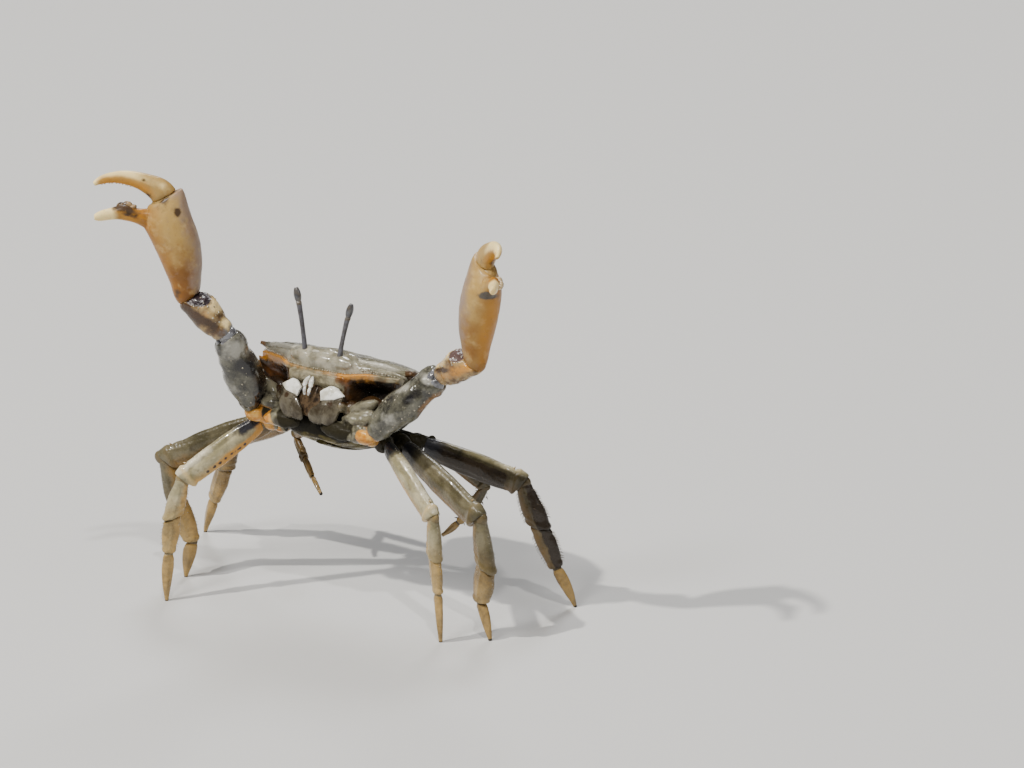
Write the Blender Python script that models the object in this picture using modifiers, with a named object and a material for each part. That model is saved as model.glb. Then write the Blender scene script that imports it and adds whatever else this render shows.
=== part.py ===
"""A life-size sentinel crab, Macrophthalmus banzai, standing with both claws raised.

The crab faces -Y, its left side is +X and +Z is up. The origin is on the floor, under
the middle of the whole animal. The trunk is drawn in its own frame and then pitched
front up; the limbs are chains of pieces with one bend at each joint.
"""
import bpy
import bmesh
from math import asin, cos, exp, pi, radians, sin
from mathutils import Matrix, Vector

MM = 0.001

# The trunk's frame: its origin is midway between the two outer orbital teeth
TRUNK_ORIGIN = Vector((-1.03, 5.08, 35.0))
TRUNK_PITCH = radians(28)
HALF_WIDTH = 13.3
FRONT_HALF_WIDTH = 1.6
CARAPACE_FRONT = -4.3
CARAPACE_BACK = 13.4
DOME_HEIGHT = 1.3
FLANK_BOTTOM = -7.0
STERNUM_LEVEL = -11.9
FLAP_DEPTH = 0.75
FLAP_CLEARANCE = 0.35

# Half of the gap that touching pieces keep
GAP = 0.15

# Limb lengths: merus, carpus, propodus, dactyl
LEG_LENGTHS = {
    "leg1": (13.7, 5.5, 5.5, 7.1),
    "leg2": (16.9, 6.5, 5.9, 5.5),
    "leg3": (14.8, 6.3, 6.6, 6.2),
    "leg4": (9.8, 3.7, 3.4, 3.5),
}
# Where each leg leaves the trunk, on the left side, in the trunk's frame
LEG_HIPS = {
    "leg1": (9.1, 1.95, -9.85),
    "leg2": (9.6, 5.0, -9.5),
    "leg3": (9.4, 8.3, -9.0),
    "leg4": (8.1, 11.3, -8.2),
}
# The widest height of each merus, carpus, propodus and dactyl
LEG_WIDTHS = {
    "leg1": (3.7, 2.8, 2.6, 1.8),
    "leg2": (4.4, 3.5, 3.4, 2.1),
    "leg3": (4.0, 3.3, 3.0, 1.9),
    "leg4": (2.2, 1.7, 1.5, 1.1),
}
# Degrees: how far each leg points forward, the turn past the knee, then the slopes
LEG_POSE = {
    ("right", "leg1"): (46, -2, -33, -71, -81, None),
    ("right", "leg2"): (23, -1, -23, -100, -106, None),
    ("right", "leg3"): (-13, -2, -24, -62, -61, None),
    ("right", "leg4"): (-28, -1, -33, -138, -143, -150),
    ("left", "leg1"): (23, -2, -31, -90, -87, None),
    ("left", "leg2"): (14, -2, -23, -81, -104, None),
    ("left", "leg3"): (-21, -3, -20, -70, -71, None),
    ("left", "leg4"): (-23, 9, -41, -123, -131, -140),
}
LEG_BASE_REACH = 2.2

# The claw arms: merus, carpus and palm lengths, and the degrees forward and up of each
CLAW_SHOULDER = (9.9, -1.9, -9.2)
CLAW_ROOT = (5.8, -1.7, -9.5)
CLAW_LENGTHS = (13.8, 7.5, 15.0)
CLAW_POSE = {
    "right": ((88, 66), (20, 44), (15, 77)),
    "left": ((-20, 40), (5, 27), (-14, 80)),
}
# Degrees forward of the side that each claw's fingers point
CLAW_TURN = {"right": 38, "left": 33}
# How fast the fingers bend towards the crab's front, per millimetre of reach squared
FINGER_BEND = 0.028
# How fast the palm's upper end drops towards the fingers
HINGE_DROP = 0.24

# Eyestalks: their feet in the trunk's frame, and how far out, back and up they reach
EYESTALK_FOOT = (2.9, -3.3, -1.1)
EYESTALK_REACH = {"right": (1.3, 0.9, 7.5), "left": (1.3, 0.9, 6.7)}
EYESTALK_BOW = 0.35
CORNEA_LENGTH = 2.1
CORNEA_WIDTH = 1.15


def trunk_point(x, y, z):
    """A point of the trunk's frame, in the crab's own frame."""
    turn = Matrix.Rotation(-TRUNK_PITCH, 3, "X")
    return turn @ Vector((x, y, z)) + TRUNK_ORIGIN


def heading(side, forward, rise):
    """The way a limb piece points: degrees forward of straight out, and up."""
    sign = 1 if side == "left" else -1
    forward, rise = radians(forward), radians(rise)
    return Vector((sign * cos(forward) * cos(rise), -sin(forward) * cos(rise), sin(rise)))


def material(name, colour, roughness):
    found = bpy.data.materials.get(name)
    if found:
        return found
    made = bpy.data.materials.new(name)
    made.use_nodes = True
    shader = made.node_tree.nodes["Principled BSDF"]
    shader.inputs["Base Color"].default_value = (*colour, 1)
    shader.inputs["Roughness"].default_value = roughness
    shader.inputs["Metallic"].default_value = 0
    return made


def shell_olive():
    return material("olive_shell", (0.20, 0.18, 0.13), 0.35)


def shell_belly():
    return material("belly_shell", (0.32, 0.28, 0.17), 0.40)


def shell_leg():
    return material("leg_shell", (0.36, 0.32, 0.22), 0.40)


def shell_claw():
    return material("claw_shell", (0.66, 0.45, 0.22), 0.45)


def mouth_shell():
    return material("mouth_shell", (0.38, 0.36, 0.30), 0.40)


def eye_stalk_skin():
    return material("eyestalk_skin", (0.13, 0.13, 0.16), 0.40)


def eye_black():
    return material("cornea", (0.02, 0.02, 0.025), 0.12)


def finish_object(name, bm, surface):
    """Put a closed mesh, drawn in millimetres, in the crab's collection."""
    bmesh.ops.recalc_face_normals(bm, faces=bm.faces[:])
    bmesh.ops.scale(bm, vec=(MM, MM, MM), verts=bm.verts[:])
    mesh = bpy.data.meshes.new(name)
    bm.to_mesh(mesh)
    bm.free()
    mesh.shade_smooth()
    mesh.materials.append(surface)
    made = bpy.data.objects.new(name, mesh)
    CRAB.objects.link(made)
    return made


def ellipse(centre, across, through, width, depth, sides=10, squareness=1.0):
    """A ring of points; a squareness below 1 fills the ring's corners."""
    ring = []
    for step in range(sides):
        angle = 2 * pi * (step + 0.5) / sides
        c, s = cos(angle), sin(angle)
        c = abs(c) ** squareness * (1 if c > 0 else -1)
        s = abs(s) ** squareness * (1 if s > 0 else -1)
        ring.append(centre + across * (c * width / 2) + through * (s * depth / 2))
    return ring


def loft(bm, rings):
    """Join rings of equal count with quads and close both ends."""
    rows = [[bm.verts.new(point) for point in ring] for ring in rings]
    count = len(rows[0])
    for low, high in zip(rows, rows[1:]):
        for step in range(count):
            following = (step + 1) % count
            bm.faces.new((low[step], low[following], high[following], high[step]))
    bm.faces.new(list(reversed(rows[0])))
    bm.faces.new(rows[-1])


def slanted(ring, axis, cut):
    """Slide a ring's points along the axis onto the plane of a slanting cut."""
    centre = sum(ring, Vector()) / len(ring)
    return [point - axis * ((point - centre).dot(cut) / axis.dot(cut)) for point in ring]


def limb_rings(joints, number, across, stations, sides):
    """Rings of one limb piece, whose ends slant halfway into the bends beside it.

    A station is the share of the length, the width, the depth and the sideways rise.
    """
    axes = [(after - before).normalized() for before, after in zip(joints, joints[1:])]
    axis = axes[number]
    start, end = joints[number] + axis * GAP, joints[number + 1] - axis * GAP
    across = (across - axis * across.dot(axis)).normalized()
    through = axis.cross(across)
    rings = []
    for share, width, depth, rise in stations:
        centre = start.lerp(end, share) + across * rise
        rings.append(ellipse(centre, across, through, width, depth, sides, 0.85))
    if number > 0:
        cut = axes[number - 1] + axis
        rings[:2] = [slanted(ring, axis, cut) for ring in rings[:2]]
    if number + 1 < len(axes):
        cut = axes[number + 1] + axis
        rings[-2:] = [slanted(ring, axis, cut) for ring in rings[-2:]]
    return rings


def limb_piece(name, rings, surface):
    bm = bmesh.new()
    loft(bm, rings)
    return finish_object(name, bm, surface)


def mirror_half(half):
    """Mirror a half that is open at the trunk's middle plane."""
    flip = half.modifiers.new("mirror", "MIRROR")
    flip.use_axis = (True, False, False)
    flip.use_clip = True
    flip.merge_threshold = 0.00005
    return half


def trunk_half(name, sections, surface):
    """A symmetric trunk piece from outlines, the first of them at the middle plane."""
    bm = bmesh.new()
    rows = [[bm.verts.new(point) for point in outline] for outline in sections]
    count = len(rows[0])
    for inner, outer in zip(rows, rows[1:]):
        for step in range(count):
            following = (step + 1) % count
            bm.faces.new((inner[step], inner[following], outer[following], outer[step]))
    bm.faces.new(rows[-1])
    bmesh.ops.recalc_face_normals(bm, faces=bm.faces[:])
    outermost = max(bm.faces, key=lambda face: face.calc_center_median().x)
    if outermost.normal.x < 0:
        bmesh.ops.reverse_faces(bm, faces=bm.faces[:])
    bmesh.ops.scale(bm, vec=(MM, MM, MM), verts=bm.verts[:])
    mesh = bpy.data.meshes.new(name)
    bm.to_mesh(mesh)
    bm.free()
    mesh.shade_smooth()
    mesh.materials.append(surface)
    half = bpy.data.objects.new(name, mesh)
    half.rotation_euler.x = -TRUNK_PITCH
    half.location = TRUNK_ORIGIN * MM
    CRAB.objects.link(half)
    return mirror_half(half)


def front_edge(x):
    """The carapace's front edge: a narrow front, then the sinuous orbit out to the tooth."""
    if x < FRONT_HALF_WIDTH:
        return CARAPACE_FRONT
    share = min((x - FRONT_HALF_WIDTH - 0.5) / (HALF_WIDTH - FRONT_HALF_WIDTH - 0.5), 1)
    return -2.4 + 2.2 * max(share, 0) ** 2 - 1.1 * sin(pi * max(share, 0)) * (1 - max(share, 0))


def back_edge(x):
    """The carapace's back edge, straight in the middle and swept forward at its corners."""
    share = min(max(x - 6.2, 0) / (HALF_WIDTH - 6.2), 1)
    return CARAPACE_BACK - 6.4 * share ** 1.6


def dome(x, y):
    """Height of the back of the shell: flat in the middle, rolled over at its edges."""
    low, high = front_edge(x), back_edge(x)
    along = 2 * (y - low) / (high - low) - 1
    edge_out = 1 - abs(x / (HALF_WIDTH + 0.2)) ** 3
    edge_along = 1 - abs(along) ** 4
    slope_back = -0.9 * max(along, 0) ** 2
    groove = -0.30 * exp(-((x - 4.6) / 0.9) ** 2) * max(0, 1 - abs(along))
    return DOME_HEIGHT * edge_out * edge_along + slope_back + groove


def make_carapace():
    """The back shell with its side walls, drawn from the middle outwards."""
    sections = []
    for x in (0, 1.4, 1.9, 2.6, 3.6, 4.6, 5.8, 7.6, 9.4, 11.0, 12.0, 12.6):
        low, high = front_edge(x), back_edge(x)
        outline = []
        for step in range(9):
            y = low + (high - low) * (0.5 - 0.5 * cos(pi * step / 8))
            outline.append((x, y, dome(x, y) + 0.2))
        outer = max(0, (x - 8.4) / (HALF_WIDTH - 8.4))
        bottom = FLANK_BOTTOM * (1 - outer) - 1.1 * outer
        wall = max(low + 1.3, -1.6)
        sweep = 1.3 + 2.2 * min(x / 8, 1)
        outline.append((x, high + 0.05, dome(x, high) - 0.7))
        outline.append((x, high - sweep, bottom))
        outline.append((x, (high - sweep + wall + 1.4) / 2, bottom))
        outline.append((x, max(wall + 1.4, -0.2), bottom))
        outline.append((x, max(wall + 1.3, -0.3), min(-1.3, bottom * 0.35)))
        outline.append((x, wall, -0.8))
        outline.append((x, low + 0.15, -0.40))
        sections.append(outline)
    return trunk_half("carapace", sections, shell_olive())


def make_side_teeth():
    """The outer orbital tooth and two smaller teeth behind it, grown from the shell."""
    teeth = []
    for y, reach, size in ((0.0, 13.4, 1.2), (2.3, 13.5, 1.0), (4.2, 13.1, 0.7)):
        for sign in (-1, 1):
            base = Vector((sign * (reach - 2.6), y + 0.8 * size, -0.35))
            tip = Vector((sign * reach, y - 0.2, 0.0))
            axis = (tip - base).normalized()
            across = Vector((0, 1, 0)) - axis * axis.y
            across.normalize()
            through = axis.cross(across)
            rings = [
                ellipse(base, across, through, 2.1 * size, 1.1, 8),
                ellipse(base.lerp(tip, 0.65), across, through, 1.35 * size, 0.85, 8),
                ellipse(tip, across, through, 0.55, 0.5, 8),
            ]
            tooth = limb_piece("tooth", rings, shell_olive())
            tooth.rotation_euler.x = -TRUNK_PITCH
            tooth.location = TRUNK_ORIGIN * MM
            teeth.append(tooth)
    return teeth


def united(base, added):
    """Join the added pieces to the base with Boolean unions, and drop them."""
    for piece in added:
        CRAB.objects.unlink(piece)
        CUTTERS.objects.link(piece)
        piece.hide_render = True
        piece.display_type = "WIRE"
        union = base.modifiers.new("union", "BOOLEAN")
        union.operation = "UNION"
        union.solver = "EXACT"
        union.object = piece
    return base


def make_face():
    """The front wall under the orbits: suborbital ridges, cheeks and the mouth field."""
    sections = []
    for x in (0, 1.2, 2.4, 3.4, 4.4, 5.2, 6.2, 7.6, 9.0, 10.4, 11.4, 12.0):
        out = x / 12.0
        crest_y = -4.5 + 3.3 * out ** 1.9
        crest_z = -2.6 + 0.8 * out ** 1.5
        low = -6.6 + 3.4 * out ** 3
        back = -0.55 + 0.45 * out
        # The cheeks stand back beside the mouth field, under the jutting ridge
        cheek = min(max((x - 4.8) / 1.2, 0), 1)
        hollow = sin(pi * min(max((x - 5.0) / 7.0, 0), 1)) ** 0.7
        upper_y = min(-3.5 * (1 - cheek) - 1.9 * cheek + 0.9 * hollow, back - 0.4)
        lower_y = min(-3.2 * (1 - cheek) - 1.4 * cheek + 0.5 * hollow, back - 0.4)
        sections.append([
            (x, crest_y + 1.5, crest_z + 0.70 - 0.2 * out),
            (x, crest_y + 0.35, crest_z + 0.40),
            (x, crest_y, crest_z),
            (x, crest_y + 0.3, crest_z - 0.50),
            (x, upper_y, crest_z * 0.65 + low * 0.35),
            (x, lower_y, crest_z * 0.30 + low * 0.70),
            (x, lower_y, low),
            (x, back, low),
            (x, back, crest_z * 0.5 + low * 0.5),
            (x, back, crest_z + 0.05),
        ])
    return trunk_half("face", sections, shell_olive())


def belly_level(y):
    """The breastplate's underside along the middle of the trunk."""
    return STERNUM_LEVEL + 0.9 * max(0, -y / 2.2) ** 2 + 2.6 * max(0, (y - 4.0) / 8.2) ** 2


def flap_half_width(y):
    """Half the width of the narrow tail flap: a blunt tip, widening to the rear."""
    return 1.1 + 1.5 * min(max(y - 0.8, 0) / 9.0, 1) ** 0.8


def make_thorax():
    """The breastplate and the lower trunk that carries the legs, grooved for the flap."""
    sections = []
    top = FLANK_BOTTOM - 0.3
    stations = (0.0, 0.10, 0.21, 0.32, 0.48, 0.64, 0.80, 1.0)
    for x in (0, 1.2, 2.1, 2.9, 3.6, 4.4, 4.9, 5.4, 6.8, 8.2):
        out = x / 8.2
        front = -2.7 + 0.5 * out if x < 4.6 else (-1.2 if x < 5 else 1.0 + 0.3 * out)
        outline = [(x, front, top), (x, front - 0.1, (top + STERNUM_LEVEL + 0.9) / 2)]
        rear = 12.3 - 1.5 * out
        for share in stations:
            y = (front + 0.4) * (1 - share) + (rear - 0.3) * share
            level = belly_level(y) + 2.8 * out ** 2.4
            if x < flap_half_width(y) + FLAP_CLEARANCE and y > 0.2:
                level += FLAP_DEPTH
            outline.append((x, y, level))
        outline.append((x, rear, top * 0.7 + belly_level(12) * 0.3))
        outline.append((x, rear - 0.3, top))
        outline.append((x, 5.0, top))
        sections.append(outline)
    return trunk_half("thorax", sections, shell_belly())


def make_abdomen():
    """The male's narrow flap, folded forward into the breastplate's groove."""
    sections = []
    for share in (0, 0.45, 0.8, 1.0):
        outer, inner = [], []
        for y in (0.75, 1.2, 2.6, 4.4, 6.4, 8.2, 10.0, 11.5):
            half = flap_half_width(y) * (0.55 if y < 1 else 1) - 0.05
            level = belly_level(y)
            thin = 0.18 * share ** 2
            outer.append((share * half, y, level - 0.15 + thin))
            inner.append((share * half, y, level + FLAP_DEPTH - 2 * GAP - thin))
        sections.append(outer + inner[::-1])
    return trunk_half("abdomen", sections, shell_belly())


def make_maxilliped(side):
    """One of the two doors over the mouth: a broad lower and a smaller upper plate."""
    sign = 1 if side == "left" else -1
    rings = []
    for z, inner, outer, front in (
        (-9.6, 0.9, 3.9, -3.7),
        (-9.15, 0.35, 4.6, -4.0),
        (-8.15, 0.45, 5.1, -4.35),
        (-7.6, 1.05, 5.25, -4.45),
        (-7.0, 1.70, 5.3, -4.5),
        (-6.5, 2.00, 5.3, -4.4),
        (-5.9, 1.90, 5.4, -4.5),
        (-5.1, 1.55, 5.5, -4.5),
        (-4.6, 2.2, 4.7, -4.4),
        (-4.15, 2.9, 4.0, -4.2),
    ):
        middle = Vector((sign * (inner + outer) / 2, front + 0.3, z))
        rings.append(ellipse(middle, Vector((1, 0, 0)), Vector((0, 1, 0)), outer - inner, 0.9, 10, 0.7))
    rings = [[trunk_point(*point) for point in ring] for ring in rings]
    limb_piece(side + "_maxilliped", rings, mouth_shell())


def make_eye(side):
    """An eyestalk that stands upright whatever the trunk's pitch, with its long cornea."""
    sign = 1 if side == "left" else -1
    foot = trunk_point(sign * EYESTALK_FOOT[0], *EYESTALK_FOOT[1:])
    out, back, up = EYESTALK_REACH[side]
    top = foot + Vector((sign * out, back, up))
    knee = foot.lerp(top, 0.45) - Vector((sign * EYESTALK_BOW, 0, 0))
    right, rear = Vector((1, 0, 0)), Vector((0, 1, 0))
    rings = []
    for share, width in ((0, 1.2), (0.06, 1.1), (0.16, 0.85), (0.5, 0.72), (0.9, 0.80), (1, 0.9)):
        centre = foot * (1 - share) ** 2 + knee * 2 * share * (1 - share) + top * share ** 2
        rings.append(ellipse(centre, right, rear, width, width, 8))
    limb_piece(side + "_eyestalk", rings, eye_stalk_skin())
    axis = (top - knee).normalized()
    across = (right - axis * axis.x).normalized()
    through = axis.cross(across)
    rings = []
    for step in range(7):
        share = step / 6
        width = CORNEA_WIDTH * sin(pi * (0.14 + 0.76 * share)) ** 0.6
        centre = top + axis * (2 * GAP + CORNEA_LENGTH * share)
        rings.append(ellipse(centre, across, through, width, width, 10))
    limb_piece(side + "_cornea", rings, eye_black())


def base_stations(width):
    deep = width * 0.80
    return (
        (0.0, width * 0.80, deep * 0.80, 0),
        (0.45, width * 0.84, deep * 0.92, 0),
        (0.80, width * 0.74, deep * 0.80, 0),
        (1.0, width * 0.62, deep * 0.66, 0),
    )


def merus_stations(width):
    deep = width * 0.52
    return (
        (0.0, width * 0.58, deep * 0.78, 0),
        (0.05, width * 0.72, deep * 0.92, 0),
        (0.28, width * 0.92, deep * 1.0, 0.05),
        (0.60, width * 1.0, deep * 1.0, 0.10),
        (0.84, width * 0.90, deep * 0.98, 0.05),
        (0.97, width * 0.78, deep * 0.96, 0),
        (1.0, width * 0.66, deep * 0.82, 0),
    )


def carpus_stations(width):
    deep = width * 0.60
    return (
        (0.0, width * 0.56, deep * 0.70, 0),
        (0.08, width * 0.70, deep * 0.86, 0),
        (0.45, width * 0.92, deep * 1.0, 0.05),
        (0.80, width * 1.0, deep * 1.0, 0.05),
        (0.95, width * 0.86, deep * 0.92, 0),
        (1.0, width * 0.62, deep * 0.75, 0),
    )


def propodus_stations(width):
    deep = width * 0.52
    return (
        (0.0, width * 0.58, deep * 0.72, 0),
        (0.08, width * 0.88, deep * 0.95, 0),
        (0.45, width * 1.0, deep * 1.0, 0),
        (0.80, width * 0.82, deep * 0.90, 0),
        (0.95, width * 0.62, deep * 0.78, 0),
        (1.0, width * 0.50, deep * 0.66, 0),
    )


def dactyl_stations(width):
    deep = width * 0.60
    return (
        (0.0, width * 0.60, deep * 0.75, 0),
        (0.10, width * 0.92, deep * 1.0, 0),
        (0.35, width * 0.92, deep * 0.96, 0.06),
        (0.70, width * 0.62, deep * 0.74, 0.10),
        (1.0, 0.52, 0.50, 0),
    )


def make_leg(side, leg):
    """Base, merus, carpus, propodus and dactyl of one walking leg."""
    sign = 1 if side == "left" else -1
    hip_x, hip_y, hip_z = LEG_HIPS[leg]
    hip = trunk_point(sign * hip_x, hip_y, hip_z)
    forward, past_knee, *slopes = LEG_POSE[side, leg]
    joints = [hip + heading(side, forward, -6) * LEG_BASE_REACH]
    for number, (length, slope) in enumerate(zip(LEG_LENGTHS[leg], slopes)):
        turn = forward + (past_knee if number else 0)
        if slope is None:
            # The last piece comes down to the floor
            slope = -90 if joints[-1].z > length else -180 / pi * asin(joints[-1].z / length)
        joints.append(joints[-1] + heading(side, turn, slope) * length)
    if slopes[3] is None:
        joints[4].z = 0
    upward = Vector((0, 0, 1))
    outward = heading(side, forward + past_knee, 0)
    merus, carpus, propodus, dactyl = LEG_WIDTHS[leg]
    pieces = (
        ("base", upward, base_stations(merus), shell_belly()),
        ("merus", upward, merus_stations(merus), shell_leg()),
        ("carpus", outward, carpus_stations(carpus), shell_leg()),
        ("propodus", outward, propodus_stations(propodus), shell_leg()),
        ("dactyl", outward, dactyl_stations(dactyl), shell_leg()),
    )
    for number, (label, across, stations, surface) in enumerate(pieces):
        rings = limb_rings([hip] + joints, number, across, stations, 10)
        if label == "dactyl" and slopes[3] is None:
            # The tip stands on a small flat
            for point in rings[-1]:
                point.z = 0
        limb_piece(side + "_" + leg + "_" + label, rings, surface)


def claw_joints(side):
    """Root, shoulder, elbow, wrist and finger hinge of one claw arm."""
    sign = 1 if side == "left" else -1
    root = trunk_point(sign * CLAW_ROOT[0], *CLAW_ROOT[1:])
    joints = [root, trunk_point(sign * CLAW_SHOULDER[0], *CLAW_SHOULDER[1:])]
    for length, (forward, rise) in zip(CLAW_LENGTHS, CLAW_POSE[side]):
        joints.append(joints[-1] + heading(side, forward, rise) * length)
    return joints


def make_claw_arm(side):
    """The three pieces between the trunk and the hand."""
    joints = claw_joints(side)
    upward = Vector((0, 0, 1))
    fingers = heading(side, CLAW_TURN[side], 0)
    base = ((0.0, 2.6, 2.6, 0), (0.30, 3.4, 3.1, 0), (0.75, 3.7, 3.2, 0), (1.0, 2.8, 2.6, 0))
    merus = ((0.0, 2.8, 2.6, 0), (0.06, 3.7, 3.3, 0), (0.25, 4.5, 3.6, 0), (0.60, 5.0, 3.8, 0),
             (0.86, 4.4, 3.6, 0), (0.97, 3.6, 3.2, 0), (1.0, 2.8, 2.6, 0))
    carpus = ((0.0, 2.5, 2.4, 0), (0.08, 3.2, 3.0, 0), (0.40, 4.2, 3.8, 0.2), (0.75, 4.4, 4.0, 0.3),
              (0.94, 3.6, 3.3, 0.1), (1.0, 2.7, 2.6, 0))
    pieces = (
        ("_claw_base", upward, base, shell_belly()),
        ("_claw_merus", fingers, merus, shell_leg()),
        ("_claw_carpus", upward, carpus, shell_claw()),
    )
    for number, (label, across, stations, surface) in enumerate(pieces):
        limb_piece(side + label, limb_rings(joints, number, across, stations, 12), surface)


def hand_frame(side):
    """The wrist, the hand's long axis, the way its fingers point and its thickness axis."""
    joints = claw_joints(side)
    wrist, hinge = joints[3], joints[4]
    up = (hinge - wrist).normalized()
    fingers = heading(side, CLAW_TURN[side], 0)
    fingers = (fingers - up * fingers.dot(up)).normalized()
    return wrist, up, fingers, up.cross(fingers)


def finger_rings(side, route):
    """Rings along a finger: each has its reach, its height, its width and depth."""
    wrist, up, fingers, through = hand_frame(side)
    inward = through if side == "right" else -through
    centres = []
    for reach, height, *_ in route:
        bend = FINGER_BEND * reach ** 2
        centres.append(wrist + fingers * reach + up * height + inward * bend)
    rings = []
    for number, (*_, width, depth) in enumerate(route):
        before = centres[max(number - 1, 0)]
        after = centres[min(number + 1, len(centres) - 1)]
        along = (after - before).normalized()
        across = along.cross(through).normalized()
        rings.append(ellipse(centres[number], across, through, width, depth, 10))
    return rings


def make_hand(side):
    """The palm with its fixed finger, and the movable finger hinged on its upper end."""
    wrist, up, fingers, through = hand_frame(side)
    rings = []
    for height, reach, width, depth in (
        (0.15, -0.3, 2.7, 2.4),
        (0.9, -0.4, 3.5, 3.2),
        (3.0, -0.6, 4.7, 4.4),
        (5.5, -0.8, 5.8, 5.3),
        (8.5, -0.7, 6.5, 5.6),
        (10.8, -0.35, 6.8, 5.2),
        (12.4, -0.35, 6.5, 4.4),
        (13.8, -0.7, 5.9, 3.4),
        (14.5, -0.8, 5.2, 2.6),
    ):
        centre = wrist + up * height + fingers * reach
        ring = ellipse(centre, fingers, through, width, depth, 14)
        rings.append(ring)
    joints = claw_joints(side)
    cut = (joints[3] - joints[2]).normalized() + up
    rings[:2] = [slanted(ring, up, cut) for ring in rings[:2]]
    hinge_cut = up + fingers * HINGE_DROP
    rings[-2:] = [slanted(ring, up, hinge_cut) for ring in rings[-2:]]
    palm = limb_piece(side + "_palm", rings, shell_claw())
    finger = (
        (0.2, 11.2, 3.0, 2.2),
        (2.2, 12.3, 2.7, 2.3),
        (3.6, 13.1, 1.9, 1.8),
        (5.0, 14.1, 2.2, 1.6),
        (6.2, 14.4, 1.6, 1.35),
        (7.6, 14.65, 1.5, 1.25),
        (8.6, 14.8, 1.3, 1.05),
        (9.1, 14.9, 0.7, 0.6),
    )
    united(palm, [limb_piece("finger", finger_rings(side, finger), shell_claw())])
    thumb = (
        (-0.75, 14.85, 3.7, 2.2),
        (-0.55, 15.45, 3.8, 2.6),
        (0.0, 16.2, 3.4, 2.4),
        (1.2, 17.25, 2.7, 2.1),
        (2.7, 18.35, 2.1, 1.8),
        (4.6, 19.2, 1.7, 1.5),
        (6.3, 19.55, 1.35, 1.2),
        (7.4, 19.5, 0.95, 0.9),
        (7.95, 19.35, 0.55, 0.5),
    )
    rings = finger_rings(side, thumb)
    reach, height, width, depth = thumb[0]
    seat = wrist + up * height + fingers * reach
    # The base lies along the hinge line, its points in the same order as the rings above it
    rings[0] = slanted(ellipse(seat, -fingers, through, width, depth, 10), up, hinge_cut)
    limb_piece(side + "_claw_dactyl", rings, shell_claw())


def clear_scene():
    for old in list(bpy.data.objects):
        bpy.data.objects.remove(old, do_unlink=True)


clear_scene()
CRAB = bpy.data.collections.new("sentinel_crab")
CUTTERS = bpy.data.collections.new("joined_shapes")
bpy.context.scene.collection.children.link(CRAB)
bpy.context.scene.collection.children.link(CUTTERS)

united(make_carapace(), make_side_teeth())
make_face()
make_thorax()
make_abdomen()
for crab_side in ("left", "right"):
    make_maxilliped(crab_side)
    make_eye(crab_side)
    make_claw_arm(crab_side)
    make_hand(crab_side)
    for leg_name in LEG_LENGTHS:
        make_leg(crab_side, leg_name)
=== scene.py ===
"""The looks of a life-size sentinel crab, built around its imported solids.

Every shell piece is a smooth, sculpted copy of the solid that it stands for. Between
them go the soft joints, the beads, teeth, spines and hairs, the band around the eyestalks
and the palps of the mouth. All building is in millimetres, in the crab's own frame.
"""
from math import cos, pi, radians, sin

import bmesh
import bpy
import numpy as np
from mathutils import Matrix, Vector
from mathutils.bvhtree import BVHTree


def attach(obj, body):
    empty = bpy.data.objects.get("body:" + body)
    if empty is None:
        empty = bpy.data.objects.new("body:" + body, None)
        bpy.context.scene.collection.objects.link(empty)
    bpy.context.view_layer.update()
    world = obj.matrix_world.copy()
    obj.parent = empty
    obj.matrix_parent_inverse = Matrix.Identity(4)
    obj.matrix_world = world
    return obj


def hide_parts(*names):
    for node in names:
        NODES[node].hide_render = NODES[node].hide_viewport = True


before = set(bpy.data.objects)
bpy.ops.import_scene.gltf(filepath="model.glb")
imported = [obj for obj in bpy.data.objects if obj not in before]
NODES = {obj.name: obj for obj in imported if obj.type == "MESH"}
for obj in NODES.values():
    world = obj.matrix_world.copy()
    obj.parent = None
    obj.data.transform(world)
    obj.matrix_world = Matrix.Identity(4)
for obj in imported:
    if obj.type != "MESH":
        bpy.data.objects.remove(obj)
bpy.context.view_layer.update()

MM = 0.001
SIDES = ("left", "right")
SIGN = {"left": 1, "right": -1}
LEGS = ("leg1", "leg2", "leg3", "leg4")

# The trunk's frame: midway between the outer orbital teeth, pitched front up
TRUNK_ORIGIN = np.array([-1.03, 5.08, 35.0])
TRUNK_PITCH = radians(28)

# The hands: the way the palm points and the way the fingers point, in degrees forward
# of straight out and in degrees up
HAND_UP = {"right": (15, 77), "left": (-14, 80)}
FINGER_TURN = {"right": 38, "left": 33}

# How much painted shade, over some darker tone of their own, darkens each leg: its merus, and the pieces
# below it
LEG_SHADE = {
    ("left", "leg1"): (0.05, 0.25), ("left", "leg2"): (0.77, 0.75),
    ("left", "leg3"): (0.97, 0.96), ("left", "leg4"): (0.88, 0.88),
    ("right", "leg1"): (0.0, 0.12), ("right", "leg2"): (0.80, 0.74),
    ("right", "leg3"): (0.80, 0.74), ("right", "leg4"): (0.88, 0.88),
}
# How far the lower joints of a leg slant, as a share of the leg's half width
JOINT_SLANT = 0.50

# The view of the photograph, in millimetres and pixels
VIEW_AZIMUTH = radians(38)
VIEW_ELEVATION = radians(20)
VIEW_ROLL = radians(3)
VIEW_DISTANCE = 1500
VIEW_TARGET = (24.0, 28.1)
PIXELS_PER_MM = 7.15
IMAGE_WIDTH = 1024
IMAGE_HEIGHT = 768
SENSOR_WIDTH = 36.0
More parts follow.
